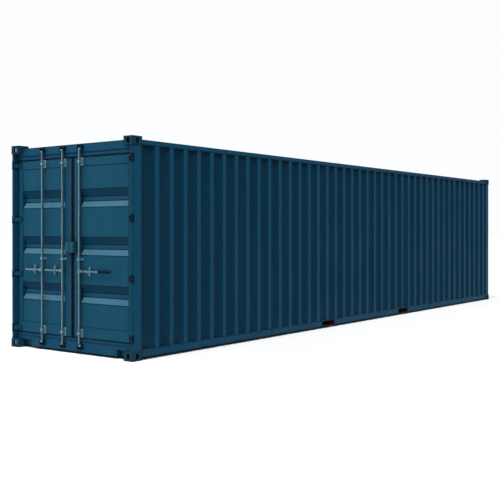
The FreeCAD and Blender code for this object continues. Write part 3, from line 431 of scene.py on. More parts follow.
class MaterialSheet(NodeSheet):
    """A material's nodes: object coordinates in, one shader out."""

    def __init__(self, name: str) -> None:
        """Starts a material with its coordinates and its shader.

        Args:
            name: The material's name.
        """
        self.material = bpy.data.materials.new(name)
        self.material.use_nodes = True
        super().__init__(self.material.node_tree)
        self.place = self.add("ShaderNodeTexCoord").outputs["Object"]
        self.shader = self.add("ShaderNodeBsdfPrincipled")
        out = self.add("ShaderNodeOutputMaterial")
        self.feed(out.inputs["Surface"], self.shader.outputs["BSDF"])

    def effect(self, effect: Effect, output: str, **values: float) -> Socket:
        """Places a shared effect in the material.

        Args:
            effect: The effect.
            output: The name of the output that is wanted.
            values: The effect's own values in this material.

        Returns:
            That output.
        """
        node = self.add("ShaderNodeGroup")
        node.node_tree = effect.group()
        self.feed(node.inputs["Place"], self.place)
        for name, value in values.items():
            node.inputs[name].default_value = value
        return node.outputs[output]

    def relief(self, height: object, depth: float, strength: float = 1.0) -> None:
        """Feeds a height pattern to the shader's normal.

        Args:
            height: The pattern's output.
            depth: How deep the pattern is.
            strength: How strongly it shows.
        """
        bump = self.add("ShaderNodeBump")
        bump.inputs["Distance"].default_value = depth
        bump.inputs["Strength"].default_value = strength
        self.feed(bump.inputs["Height"], height)
        self.feed(self.shader.inputs["Normal"], bump.outputs["Normal"])

    def finish(self, colour: object, roughness: object, metallic: float, gloss: float) -> Material:
        """Sets the shader's main sockets.

        Args:
            colour: The base colour, or its output.
            roughness: The roughness, or its output.
            metallic: How metallic the surface is.
            gloss: The specular level.

        Returns:
            The finished material.
        """
        self.feed(self.shader.inputs["Base Color"], colour)
        self.feed(self.shader.inputs["Roughness"], roughness)
        self.shader.inputs["Metallic"].default_value = metallic
        self.shader.inputs["Specular IOR Level"].default_value = gloss
        return self.material


# ---------------------------------------------------------------- finishes


@dataclass(frozen=True)
class Trough:
    """Where the troughs of a pressed sheet lie: painted shade starts behind the ridges.

    A painted shadow lies in a band as tall as the shadow, under the sheet's top.
    """

    axis: Axis
    ridge: float
    depth: float
    top: float = 2.79
    shadow: float = 0.07
    soft: float = 0.003


@dataclass(frozen=True)
class Pressing:
    """Where soot lies along the folds of the recesses in the doors, one recess over another."""

    foot: float = 0.698
    pitch: float = 0.649
    folds: tuple[float, ...] = (0.0, 0.074, 0.148, 0.236)
    ends: tuple[float, float] = (0.159, 1.059)
    rise: tuple[float, float] = (0.66, 2.27)
    reach: float = 0.015
    soft: float = 0.002

    def mask(self, sheet: MaterialSheet) -> Socket:
        """Masks a thin band along every fold.

        Args:
            sheet: The material's sheet.

        Returns:
            The mask's output.
        """
        parts = sheet.add("ShaderNodeSeparateXYZ")
        sheet.feed(parts.inputs[0], sheet.place)
        start = self.foot - self.reach * 2
        height = sheet.sum("SUBTRACT", parts.outputs["Z"], start)
        rise = sheet.sum("FLOORED_MODULO", height, self.pitch)
        bands: object = 0.0
        for fold in self.folds:
            off = sheet.sum("ABSOLUTE", sheet.sum("SUBTRACT", rise, fold + self.foot - start))
            bands = sheet.sum("MAXIMUM", bands, sheet.ramp(off, self.reach, self.reach * 0.6))
        across = sheet.sum("ABSOLUTE", parts.outputs["Y"])
        for place, (low, high) in ((across, self.ends), (parts.outputs["Z"], self.rise)):
            bands = sheet.sum("MULTIPLY", bands, sheet.ramp(place, low - self.soft, low))
            bands = sheet.sum("MULTIPLY", bands, sheet.ramp(place, high + self.soft, high))
        return bands


@dataclass(frozen=True)
class SteelPaint:
    """Marine paint on steel, with patches, rain streaks, worn edges and dust, and painted shade in
    corners.
    """

    name: str
    colour: Colour
    # Colour of the rain streaks, and of the painted shade in corners and behind the ridges.
    grime: Colour
    faded: Colour
    # Colour of the painted highlight on faces that look up.
    chalk: Colour = (0.044, 0.130, 0.205)
    # Colour of the painted shade on faces that look down.
    shade: Colour = (0.0002, 0.0340, 0.0760)
    dust: Colour = (0.06, 0.10, 0.13)
    roughness: float = 0.5
    gloss: float = 0.045
    edge: Colour = (0.0010, 0.0100, 0.0170)
    edge_width: float = 0.014
    edge_bend: float = 0.86
    edge_share: float = 0.8
    corner_reach: float = 0.05
    corner_share: float = 0.8
    streak_share: float = 0.22
    chalk_share: float = 0.0
    shade_share: float = 0.0
    dust_height: float = 0.45
    dust_share: float = 0.10
    trough: Optional[Trough] = None
    pressing: Optional[Pressing] = None

    def build(self) -> Material:
        """Builds the finish's material.

        Returns:
            The material.
        """
        sheet = MaterialSheet(self.name)
        patches = sheet.effect(Effect.PAINT_LIFE, "Patches")
        life = patches.node
        colour = sheet.coat(patches, 0.5, self.colour, self.faded)
        colour = sheet.coat(life.outputs["Streaks"], self.streak_share, colour, self.grime)
        if self.trough:
            # Painted shade behind the ridges and on the door-facing slopes, then a near-black painted
            # shadow under the sheet's top.
            behind, under = self.trough_mask(sheet)
            colour = sheet.blend(behind, colour, self.grime)
            colour = sheet.blend(under, colour, self.edge)
        # Painted shade: corners and the faces under edges darken by ambient occlusion.
        corners = sheet.effect(Effect.CORNER_GRIME, "Mask", Reach=self.corner_reach)
        colour = sheet.coat(corners, self.corner_share, colour, self.grime)
        edges = sheet.effect(Effect.EDGE_WEAR, "Mask", Width=self.edge_width, Bend=self.edge_bend)
        colour = sheet.coat(edges, self.edge_share, colour, self.edge)
        if self.pressing:
            colour = sheet.coat(self.pressing.mask(sheet), self.edge_share, colour, self.edge)
        # Painted highlight on faces that look up, painted shade on faces that look down.
        facing = sheet.effect(Effect.FACING, "Up").node
        colour = sheet.coat(facing.outputs["Up"], self.chalk_share, colour, self.chalk)
        colour = sheet.coat(facing.outputs["Down"], self.shade_share, colour, self.shade)
        dust = sheet.effect(Effect.GROUND_DUST, "Mask", Height=self.dust_height)
        dust_share = sheet.sum("MULTIPLY", dust, self.dust_share)
        colour = sheet.blend(dust_share, colour, self.dust)
        roughness = sheet.ramp(patches, 0.0, 1.0, start=self.roughness - 0.05, end=self.roughness + 0.08)
        sheet.relief(life.outputs["Grain"], 0.0006, 0.35)
        return sheet.finish(colour, sheet.sum("ADD", roughness, dust_share), 0.0, self.gloss)

    def trough_mask(self, sheet: MaterialSheet) -> tuple[Socket, Socket]:
        """Masks the painted shade behind the ridges and on the slopes that face the door end, and the
        painted shadow under its top.

        Args:
            sheet: The material's sheet.

        Returns:
            The output of each mask.
        """
        trough = self.trough
        parts = sheet.add("ShaderNodeSeparateXYZ")
        sheet.feed(parts.inputs[0], sheet.place)
        place = sheet.sum("ABSOLUTE", parts.outputs[trough.axis.value])
        behind = sheet.ramp(place, trough.ridge - trough.soft, trough.ridge - trough.depth)
        # Painted shade on the slopes that face the door end, where the key light falls.
        doorward_shade = sheet.effect(Effect.FACING, "Doorward")
        # Painted shadow in a band under the sheet's top.
        foot, full = trough.top - trough.shadow, trough.top - trough.shadow / 3
        under = sheet.ramp(parts.outputs["Z"], foot, full)
        mask = sheet.ramp(sheet.sum("ADD", behind, doorward_shade), 0.0, 1.0, 0.0, 0.9)
        return mask, sheet.sum("MULTIPLY", mask, under)


@dataclass(frozen=True)
class GalvanisedSteel:
    """Zinc-coated or bare steel with spangles, rubbed bright in places, and painted shade in corners and
    on its flanks.
    """

    name: str
    colour: Colour
    # The dull colour serves the smears and worn edges, and the painted shade in corners and on the
    # flanks.
    dull: Colour
    metallic: float = 0.35
    roughness: float = 0.42
    side_share: float = 0.85

    def build(self) -> Material:
        """Builds the finish's material.

        Returns:
            The material.
        """
        sheet = MaterialSheet(self.name)
        spangles = sheet.add("ShaderNodeTexVoronoi")
        sheet.feed(spangles.inputs["Vector"], sheet.place)
        spangles.inputs["Scale"].default_value = 70.0
        tone = sheet.sum("MULTIPLY", spangles.outputs["Distance"], 0.9)
        smears = sheet.ramp(sheet.noise(sheet.place, 11.0, detail=4.0, rough=0.65), 0.35, 0.75)
        colour = sheet.coat(smears, tone, self.colour, self.dull)
        # Painted shade in corners, by ambient occlusion.
        corners = sheet.effect(Effect.CORNER_GRIME, "Mask", Reach=0.02)
        colour = sheet.coat(corners, 0.7, colour, self.dull)
        edges = sheet.effect(Effect.EDGE_WEAR, "Mask", Width=0.003)
        colour = sheet.coat(edges, 0.35, colour, self.dull)
        # Painted shade on the faces that look to the sides, so round bars darken at their flanks.
        sides = sheet.effect(Effect.FACING, "Aside")
        colour = sheet.coat(sides, self.side_share, colour, self.dull)
        sheet.relief(sheet.noise(sheet.place, 220.0, detail=2.0), 0.0004, 0.3)
        roughness = sheet.ramp(smears, 0.0, 1.0, start=self.roughness - 0.08, end=self.roughness + 0.12)
        return sheet.finish(colour, roughness, self.metallic, 0.4)


@dataclass(frozen=True)
class Rubber:
    """Black rubber, matt and a little bloomed with age."""

    name: str
    colour: Colour = (0.0050, 0.0060, 0.0070)
    bloom: Colour = (0.0120, 0.0135, 0.0150)

    def build(self) -> Material:
        """Builds the finish's material.

        Returns:
            The material.
        """
        sheet = MaterialSheet(self.name)
        cloud = sheet.ramp(sheet.noise(sheet.place, 18.0, detail=4.0, rough=0.7), 0.4, 0.75)
        colour = sheet.coat(cloud, 0.6, self.colour, self.bloom)
        sheet.relief(sheet.noise(sheet.place, 300.0, detail=3.0), 0.0005, 0.4)
        return sheet.finish(colour, sheet.ramp(cloud, 0.0, 1.0, 0.62, 0.8), 0.0, 0.04)


@dataclass(frozen=True)
class Plywood:
    """Varnished marine plywood, its grain along the container, scuffed by loads."""

    name: str
    light: Colour = (0.27, 0.155, 0.075)
    dark: Colour = (0.12, 0.062, 0.028)
    scuff: Colour = (0.34, 0.27, 0.19)

    def build(self) -> Material:
        """Builds the finish's material.

        Returns:
            The material.
        """
        sheet = MaterialSheet(self.name)
        along = sheet.stretched(sheet.place, (1.2, 26.0, 26.0))
        grain = sheet.noise(along, 1.0, detail=6.0, rough=0.7)
        bands = sheet.add("ShaderNodeTexWave", bands_direction="Y")
        sheet.feed(bands.inputs["Vector"], sheet.stretched(sheet.place, (0.35, 5.0, 5.0)))
        bands.inputs["Scale"].default_value = 2.2
        bands.inputs["Distortion"].default_value = 7.0
        bands.inputs["Detail"].default_value = 3.0
        figure = sheet.sum("MULTIPLY", grain, bands.outputs["Fac"])
        colour = sheet.blend(sheet.ramp(figure, 0.1, 0.55), self.dark, self.light)
        smudges = sheet.noise(sheet.stretched(sheet.place, (0.8, 7.0, 7.0)), 1.4, detail=5.0, rough=0.8)
        scuffs = sheet.ramp(smudges, 0.58, 0.8)
        colour = sheet.coat(scuffs, 0.5, colour, self.scuff)
        sheet.relief(grain, 0.0008, 0.35)
        return sheet.finish(colour, sheet.ramp(scuffs, 0.0, 1.0, 0.42, 0.7), 0.0, 0.35)


SHELL_COLOUR: Colour = (0.0035, 0.0510, 0.1030)
# Each paint's second colour darkens its rain streaks and is the painted shade in corners and troughs.
SHELL_GRIME_AND_SHADE: Colour = (0.0008, 0.0225, 0.0460)
SHELL_FADED: Colour = (0.0040, 0.0550, 0.1140)
DOOR_COLOUR: Colour = (0.0050, 0.0570, 0.1030)
DOOR_GRIME_AND_SHADE: Colour = (0.0012, 0.0255, 0.0600)
DOOR_FADED: Colour = (0.0075, 0.0630, 0.1100)
FITTING_COLOUR: Colour = (0.0015, 0.0110, 0.0200)
BLACK_GRIME_AND_SHADE: Colour = (0.0030, 0.0090, 0.0140)


class Finish(Enum):
    """Every finish on the container."""

    CASTING = SteelPaint(
        "casting_steel", (0.0050, 0.0350, 0.0680), BLACK_GRIME_AND_SHADE, (0.0075, 0.0410, 0.0760),
        roughness=0.6, edge_width=0.018, edge_bend=0.95, edge_share=0.9,
    )
    SHELL = SteelPaint(
        "shell_steel", SHELL_COLOUR, SHELL_GRIME_AND_SHADE, SHELL_FADED,
        edge_width=0.018, edge_bend=0.985, edge_share=0.8, chalk_share=0.35,
    )
    WALL = SteelPaint(
        "side_wall_steel", SHELL_COLOUR, SHELL_GRIME_AND_SHADE, SHELL_FADED,
        edge_share=0.3, corner_reach=0.12, trough=Trough(Axis.Y, 1.209, 0.012),
    )
    FRONT = SteelPaint(
        "front_wall_steel", SHELL_COLOUR, SHELL_GRIME_AND_SHADE, SHELL_FADED,
        edge_share=0.3, corner_reach=0.12, trough=Trough(Axis.X, 6.076, 0.012),
    )
    ROOF = SteelPaint(
        "roof_steel", SHELL_COLOUR, SHELL_GRIME_AND_SHADE, (0.0080, 0.0750, 0.1450),
        streak_share=0.1, dust_height=9.0,
    )
    DOOR = SteelPaint(
        "door_steel", DOOR_COLOUR, DOOR_GRIME_AND_SHADE, DOOR_FADED,
        edge_width=0.018, edge_bend=0.99, edge_share=0.85, chalk_share=0.95, shade_share=0.9,
        pressing=Pressing(),
    )
    FITTING = SteelPaint(
        "hinge_steel", FITTING_COLOUR, (0.0015, 0.0050, 0.0080), (0.0025, 0.0180, 0.0320),
        edge_width=0.012, edge_share=0.95,
    )
    LOCK_BOX = SteelPaint(
        "lock_box_steel", (0.0090, 0.0640, 0.1080), BLACK_GRIME_AND_SHADE, (0.0120, 0.0720, 0.1180),
    )
    UNDERFRAME = SteelPaint(
        "underframe_steel", (0.0080, 0.0100, 0.0120), (0.0040, 0.0050, 0.0060), (0.0130, 0.0160, 0.0190),
        roughness=0.7, dust_share=0.35,
    )
    POCKET = SteelPaint(
        "fork_pocket_steel", (0.0600, 0.0160, 0.0140), (0.0180, 0.0080, 0.0070), (0.0850, 0.0270, 0.0220),
        roughness=0.65,
    )
    ROD = GalvanisedSteel("lock_rod_steel", (0.125, 0.240, 0.300), (0.010, 0.036, 0.054), 0.12)
    HANDLE = GalvanisedSteel("handle_steel", (0.085, 0.180, 0.235), (0.008, 0.030, 0.046), 0.12)
    BRACKET = GalvanisedSteel(
        "rod_bracket_steel", (0.150, 0.275, 0.340), (0.030, 0.075, 0.105), 0.12, side_share=0.3,
    )
    BRIGHT = GalvanisedSteel("bolt_steel", (0.150, 0.275, 0.340), (0.030, 0.080, 0.110), 0.25, 0.4)
    RUBBER = Rubber("gasket_rubber_black")
    GRIP = Rubber("grip_rubber_black", (0.0008, 0.0090, 0.0170), (0.0020, 0.0150, 0.0250))
    PLYWOOD = Plywood("floor_plywood")
    PADLOCK = SteelPaint(
        "padlock_enamel", (0.0400, 0.0090, 0.0130), (0.0120, 0.0050, 0.0060), (0.0500, 0.0130, 0.0170),
        edge_width=0.002,
    )

    def material(self) -> Material:
        """Gives the finish's material, and builds it the first time."""
        return bpy.data.materials.get(self.value.name) or self.value.build()


CORNER_POSTS = ("right_door_post", "left_door_post", "right_front_post", "left_front_post")
FRAME_FINISHES: dict[Finish, tuple[str, ...]] = {
    Finish.CASTING: ("bottom_corner_castings", "top_corner_castings"),
    Finish.SHELL: (
        *CORNER_POSTS, "door_header", "door_sill", "front_header", "front_sill",
        "right_bottom_rail", "left_bottom_rail", "right_top_rail", "left_top_rail",
    ),
    Finish.WALL: ("right_side_wall", "left_side_wall"),
    Finish.FRONT: ("front_wall",),
    Finish.ROOF: ("roof_panel",),
    Finish.PLYWOOD: ("floor_boards",),
    Finish.POCKET: ("fork_pockets",),
    Finish.UNDERFRAME: ("cross_members",),
    Finish.FITTING: ("hinge_brackets", "right_door_hinges", "cam_keepers"),
    Finish.DOOR: (
        "right_door_frame", "left_door_frame", "right_door_panel", "left_door_panel", "left_door_hinges",
    ),
    Finish.RUBBER: ("right_door_gasket", "left_door_gasket"),
    Finish.LOCK_BOX: ("right_lock_box", "left_lock_box"),
    Finish.BRACKET: ("right_rod_brackets", "left_rod_brackets"),
    Finish.ROD: ("right_lock_rod", "inner_left_lock_rod", "outer_left_lock_rod"),
    Finish.HANDLE: (
        "right_handle_retainers", "left_handle_retainers",
        "right_handle", "inner_left_handle", "outer_left_handle",
    ),
}


def dress_frame() -> None:
    """Gives every part of the frame its finish."""
    for finish, nodes in FRAME_FINISHES.items():
        for node in nodes:
            slots = frame["nodes"][node].data.materials
            slots.clear()
            slots.append(finish.material())
        log.info("dressed %d parts in %s", len(nodes), finish.name.lower())


# ---------------------------------------------------------------- the workbench


class Bench:
    """A workbench that shapes one piece with edit-mode tools."""

    def __init__(self, name: str) -> None:
        """Clears the bench for a new piece."""
        self.name = name
        self.clear()

    @classmethod
    def holding(cls, piece: Piece) -> "Bench":
        """Puts a piece that is already made on a bench of its own.

        Args:
            piece: The piece.

        Returns:
            The bench.
        """
        bench = cls(piece.name)
        piece.select_set(True)
        bpy.context.view_layer.objects.active = piece
        return bench

    @staticmethod
    def clear() -> None:
        """Leaves edit mode and deselects everything."""
        if bpy.context.object and bpy.context.object.mode != "OBJECT":
            bpy.ops.object.mode_set(mode="OBJECT")
        bpy.ops.object.select_all(action="DESELECT")

    @property
    def piece(self) -> Piece:
        """The piece on the bench."""
        return bpy.context.object

    def settle(self) -> "Bench":
        """Puts the piece's place, turn and scale into its mesh.

        Returns:
            The bench.
        """
        bpy.ops.object.transform_apply(location=True, rotation=True, scale=True)
        self.piece.name = self.name
        return self

    def block(self, low: Vector, high: Vector) -> "Bench":
        """Starts from a block.

        Args:
            low: One corner.
            high: The opposite corner.

        Returns:
            The bench.
        """
        low, high = Vector(map(min, low, high)), Vector(map(max, low, high))
        bpy.ops.mesh.primitive_cube_add(size=1.0, location=(low + high) / 2)
        self.piece.scale = high - low
        return self.settle()

    def bar(self, start: Vector, end: Vector, radius: float, sides: int = 16) -> "Bench":
        """Starts from a round bar.

        Args:
            start: The middle of its first end.
            end: The middle of its other end.
            radius: Its radius.
            sides: How many sides it has.

        Returns:
            The bench.
        """
        way = end - start
        turn = way.to_track_quat("Z", "Y").to_euler()
        bpy.ops.mesh.primitive_cylinder_add(
            vertices=sides, radius=radius, depth=way.length, location=(start + end) / 2, rotation=turn
        )
        return self.settle()

    def pick(self, test: Callable[[Vector, Vector], bool]) -> "Bench":
        """Selects faces, and stays in edit mode.

        Args:
            test: Says from a face's middle and normal if it is wanted.

        Returns:
            The bench.
        """
        if self.piece.mode != "OBJECT":
            bpy.ops.object.mode_set(mode="OBJECT")
        mesh = self.piece.data
        for group in (mesh.vertices, mesh.edges, mesh.polygons):
            group.foreach_set("select", [False] * len(group))
        for face in mesh.polygons:
            face.select = test(face.center, face.normal)
        bpy.ops.object.mode_set(mode="EDIT")
        bpy.ops.mesh.select_mode(type="FACE")
        return self

    def pick_facing(self, way: Vector) -> "Bench":
        """Selects the faces that look along a direction."""
        return self.pick(lambda middle, normal: normal.dot(way) > 0.99)

    def inset(self, width: float) -> "Bench":
        """Insets the selected faces."""
        bpy.ops.mesh.inset(thickness=width)
        return self

    def extrude(self, way: Vector) -> "Bench":
        """Extrudes the selected faces."""
        bpy.ops.mesh.extrude_region_move(TRANSFORM_OT_translate={"value": way})
        return self

    def dome(self, way: Vector, steps: Iterable[tuple[float, float]]) -> "Bench":
        """Shapes the face that looks along a direction into a dome or a hollow.

        Args:
            way: The direction.
            steps: How far each ring of the dome goes in and out.

        Returns:
            The bench.
        """
        self.pick_facing(way)
        for inwards, outwards in steps:
            self.inset(inwards)
            bpy.ops.transform.translate(value=way * outwards)
        self.clear_edit()
        return self

    def scale(self, shares: Colour, about: Vector) -> "Bench":
        """Scales what is selected about a point."""
        bpy.ops.transform.resize(value=shares, center_override=about)
        return self

    def cut(self, place: Vector, normal: Vector) -> "Bench":
        """Cuts a line of edges round the piece.

        Args:
            place: A point of the cut's plane.
            normal: The plane's normal.

        Returns:
            The bench.
        """
        self.pick(lambda middle, face_normal: True)
        bpy.ops.mesh.bisect(plane_co=place, plane_no=normal)
        return self

    def bevel(self, width: float, steps: int = 2, angle: float = 35.0) -> "Bench":
        """Rounds every edge that is sharper than an angle.

        Args:
            width: The width of the rounding.
            steps: How many faces it takes.
            angle: The least angle, in degrees.

        Returns:
            The bench.
        """
        self.clear_edit()
        rounding = self.piece.modifiers.new("rounding", "BEVEL")
        rounding.width = width
        rounding.segments = steps
        rounding.angle_limit = math.radians(angle)
        bpy.ops.object.modifier_apply(modifier=rounding.name)
        return self

    def clear_edit(self) -> None:
        """Leaves edit mode and keeps the piece selected."""
        if self.piece.mode != "OBJECT":
            bpy.ops.object.mode_set(mode="OBJECT")

    def done(self, finish: Finish, slot: Slot, body: str, smooth: float = 40.0) -> Piece:
        """Dresses the piece and hangs it on its body.

        Args:
            finish: The piece's finish.
            slot: The record's slot for the piece; not used.
            body: The body that it moves with.
            smooth: The sharpest angle that is shaded round, in degrees.

        Returns:
            The finished piece.
        """
        self.clear_edit()
        piece = self.piece
        bpy.ops.object.shade_smooth_by_angle(angle=math.radians(smooth))
        piece.data.materials.clear()
        piece.data.materials.append(finish.material())
        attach(piece, body)
        log.info("%s: %d faces, on %s", piece.name, len(piece.data.polygons), body)
        return piece


def copies(pattern: Piece, name: str, moves: Iterable[Vector]) -> Piece:
    """Copies one piece to many places and joins the copies.

    Args:
        pattern: The piece, modelled at the frame's origin. It is removed.
        name: The joined piece's name.
        moves: Where each copy goes.

    Returns:
        The joined piece, which is the one on the bench.
    """
    made = []
    for move in moves:
        twin = pattern.copy()
        twin.data = pattern.data.copy()
        twin.location = move
        bpy.context.scene.collection.objects.link(twin)
        made.append(twin)
    bpy.data.objects.remove(pattern)
    return joined(name, made)


def joined(name: str, pieces: list[Piece]) -> Piece:
    """Joins pieces into one.

    Args:
        name: The joined piece's name.
        pieces: The pieces, wherever they stand.

    Returns:
        The joined piece, at the origin.
    """
    Bench.clear()
    for piece in pieces:
        piece.select_set(True)
    bpy.context.view_layer.objects.active = pieces[0]
    bpy.ops.object.transform_apply(location=True, rotation=True, scale=True)
    bpy.ops.object.join()
    pieces[0].name = name
    return pieces[0]


# ---------------------------------------------------------------- sub-assemblies


@dataclass
class SeamLips:
    """Rubber lips beside the seam, one along each leaf's free edge."""

    overhang: float = 0.006
    width: float = 0.024
    thickness: float = 0.004
    sink: float = 0.0003
    margin: float = 0.004
    rib: float = 0.0015
    rounding: float = 0.0008

    def build(self) -> None:
        """Builds both lips."""
        for side in Side:
            self.lip(side)

    def lip(self, side: Side) -> None:
        """Builds one leaf's lip: a strip with a raised rib along it.

        Args:
            side: The leaf's side.
        """
        low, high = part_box(f"{side.word}_door_frame")
        edge = low.y if side is Side.LEFT else high.y
        near = edge - side.value * self.overhang
        far = edge + side.value * (self.width - self.overhang)
        corner = Vector((low.x - self.thickness, near, low.z))
        bench = Bench(f"{side.word}_seam_lip").block(corner, Vector((low.x + self.sink, far, high.z)))
        bench.pick_facing(OUT_OF_DOOR).inset(self.margin).extrude(OUT_OF_DOOR * self.rib)
        bench.bevel(self.rounding)
        bench.done(Finish.RUBBER, Slot.RUBBER, f"{side.word}_door")


@dataclass
class HandleGrip:
    """The rubber grip over the outer end of the right handle, with finger grooves."""

    length: float = 0.232
    height: float = 0.036
    thickness: float = 0.018
    past_tip: float = 0.004
    rounding: float = 0.006
    grooves: int = 7
    first_groove: float = 0.03
    plain_length: float = 0.05
    groove_width: float = 0.006
    groove_depth: float = 0.0016

    def build(self) -> None:
        """Builds the grip."""
        low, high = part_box("right_handle")
        middle = (low + high) / 2
        tip = low.y - self.past_tip
        start = Vector((middle.x - self.thickness / 2, tip, middle.z - self.height / 2))
        end = Vector((middle.x + self.thickness / 2, tip + self.length, middle.z + self.height / 2))
        bench = Bench("right_handle_grip").block(start, end)
        bench.bevel(self.rounding, 3)
        along = Vector((0.0, 1.0, 0.0))
        spacing = (self.length - self.plain_length) / self.grooves
        places = [start.y + self.first_groove + number * spacing for number in range(self.grooves)]
        for place in places:
            bench.cut(Vector((0.0, place, 0.0)), along)
            bench.cut(Vector((0.0, place + self.groove_width, 0.0)), along)
        bench.pick(
            lambda face, normal: abs(normal.y) < 0.5
            and any(place < face.y < place + self.groove_width for place in places)
        )
        bpy.ops.transform.shrink_fatten(value=-self.groove_depth)
        bench.done(Finish.GRIP, Slot.RUBBER, "right_handle_arm")


@dataclass
class HandleCatches:
    """Forged lobes above and below each handle, on the retainer behind it."""

    width: float = 0.034
    height: float = 0.050
    depth: float = 0.022
    gap: float = 0.019
    tip: Colour = (0.6, 0.35, 1.0)
    plate: float = 0.006
    sink: float = 0.0005
    margin: float = 0.006
    pad: float = 0.002
    rounding: float = 0.003

    def build(self) -> None:
        """Builds the catches of both doors."""
        for side in Side:
            self.pair(side)

    def pair(self, side: Side) -> None:
        """Builds the lobes on one door's retainers.

        Args:
            side: The door's side.
        """
        boxes = solid_boxes(f"{side.word}_handle_retainers")
        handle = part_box(f"{'right' if side is Side.RIGHT else 'inner_left'}_handle")
        height = (handle[0].z + handle[1].z) / 2
        plates = {round((low.y + high.y) / 2, 4): high.x for low, high in boxes}
        moves = [Vector((back - self.plate, place, height)) for place, back in plates.items()]
        pieces = [copies(self.lobe(way), f"{side.word}_catch", moves) for way in (1.0, -1.0)]
        catches = joined(f"{side.word}_handle_catches", pieces)
        Bench.holding(catches).done(Finish.BRIGHT, Slot.ROD, f"{side.word}_door")

    def lobe(self, way: float) -> Piece:
        """Shapes one lobe at the origin, which lies on the retainer's face at the handle's height.

        Args:
            way: 1 for the upper lobe, -1 for the lower one.

        Returns:
            The lobe.
        """
        near = way * self.gap
        far = way * (self.gap + self.height)
        corner = Vector((-self.depth, -self.width / 2, near))
        bench = Bench("lobe").block(corner, Vector((self.sink, self.width / 2, far)))
        bench.pick_facing(UP * way).scale(self.tip, Vector((0.0, 0.0, far)))
        bench.pick(lambda middle, normal: normal.x < -0.7)
        bench.inset(self.margin).extrude(OUT_OF_DOOR * self.pad)
        bench.bevel(self.rounding, 3)
        return bench.piece


@dataclass
class Rivets:
    """Domed rivet heads on the rod brackets and the hinge straps of the doors."""

    radius: float = 0.0075
    rise: float = 0.005
    sink: float = 0.0005
    inset: float = 0.013
    plate: float = 0.006
    tall_plate: float = 0.05
    strap: float = 0.010
    strap_inset: float = 0.018

    def build(self) -> None:
        """Builds the rivets of both doors."""
        for side in Side:
            for kind, places, finish, slot in (
                ("bracket", self.bracket_places, Finish.BRACKET, Slot.ROD),
                ("hinge", self.strap_places, Finish.FITTING, Slot.HINGE),
            ):
                rivets = copies(self.head(), f"{side.word}_{kind}_rivets", places(side))
                Bench.holding(rivets).done(finish, slot, f"{side.word}_door", 60.0)

    def head(self) -> Piece:
        """Shapes one rivet head that looks out of the door, its seat at the origin.

        Returns:
            The head.
        """
        seat, top = OUT_OF_DOOR * -self.sink, OUT_OF_DOOR * self.rise * 0.5
        bench = Bench("rivet").bar(seat, top, self.radius, 12)
        steps = (self.radius * 0.35, self.rise * 0.35), (self.radius * 0.3, self.rise * 0.15)
        return bench.dome(OUT_OF_DOOR, steps).piece

    def bracket_places(self, side: Side) -> Iterable[Vector]:
        """Gives the rivets' places on the base plates of the rod brackets.

        Args:
            side: The door's side.

        Returns:
            The places.
        """
        for low, high in solid_boxes(f"{side.word}_rod_brackets"):
            heights = ((low.z + high.z) / 2,)
            if high.z - low.z > self.tall_plate:
                heights = (low.z + self.inset, high.z - self.inset)
            for height in heights:
                for place in (low.y + self.inset, high.y - self.inset):
                    yield Vector((high.x - self.plate, place, height))

    def strap_places(self, side: Side) -> Iterable[Vector]:
        """Gives the rivets' places on the hinge straps, near their free ends.

        Args:
            side: The door's side.

        Returns:
            The places.
        """
        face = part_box(f"{side.word}_door_frame")[0].x - self.strap
        for low, high in solid_boxes(f"{side.word}_door_hinges"):
            end = high.y if side is Side.RIGHT else low.y
            for height in (low.z + self.strap_inset, high.z - self.strap_inset):
                yield Vector((face, end + side.value * self.inset, height))


@dataclass
class HingeCaps:
    """Domed caps over the hinge pins, on the upper lugs of the posts."""

    radius: float = 0.0115
    height: float = 0.006
    sink: float = 0.001

    def build(self) -> None:
        """Builds the caps of all the hinges."""
        bench = Bench("cap").bar(UP * -self.sink, UP * self.height * 0.6, self.radius, 20)
        steps = (self.radius * 0.4, self.height * 0.3), (self.radius * 0.3, self.height * 0.1)
        bench.dome(UP, steps)
        pin = {side: joint_place(f"{side.word}_door_hinge") for side in Side}
        moves = []
        for low, high in solid_boxes("hinge_brackets"):
            side = Side.RIGHT if low.y < 0 else Side.LEFT
            moves.append(Vector((pin[side].x, pin[side].y, high.z)))
        caps = copies(bench.piece, "hinge_pin_caps", moves)
        Bench.holding(caps).done(Finish.FITTING, Slot.HINGE, "container", 60.0)


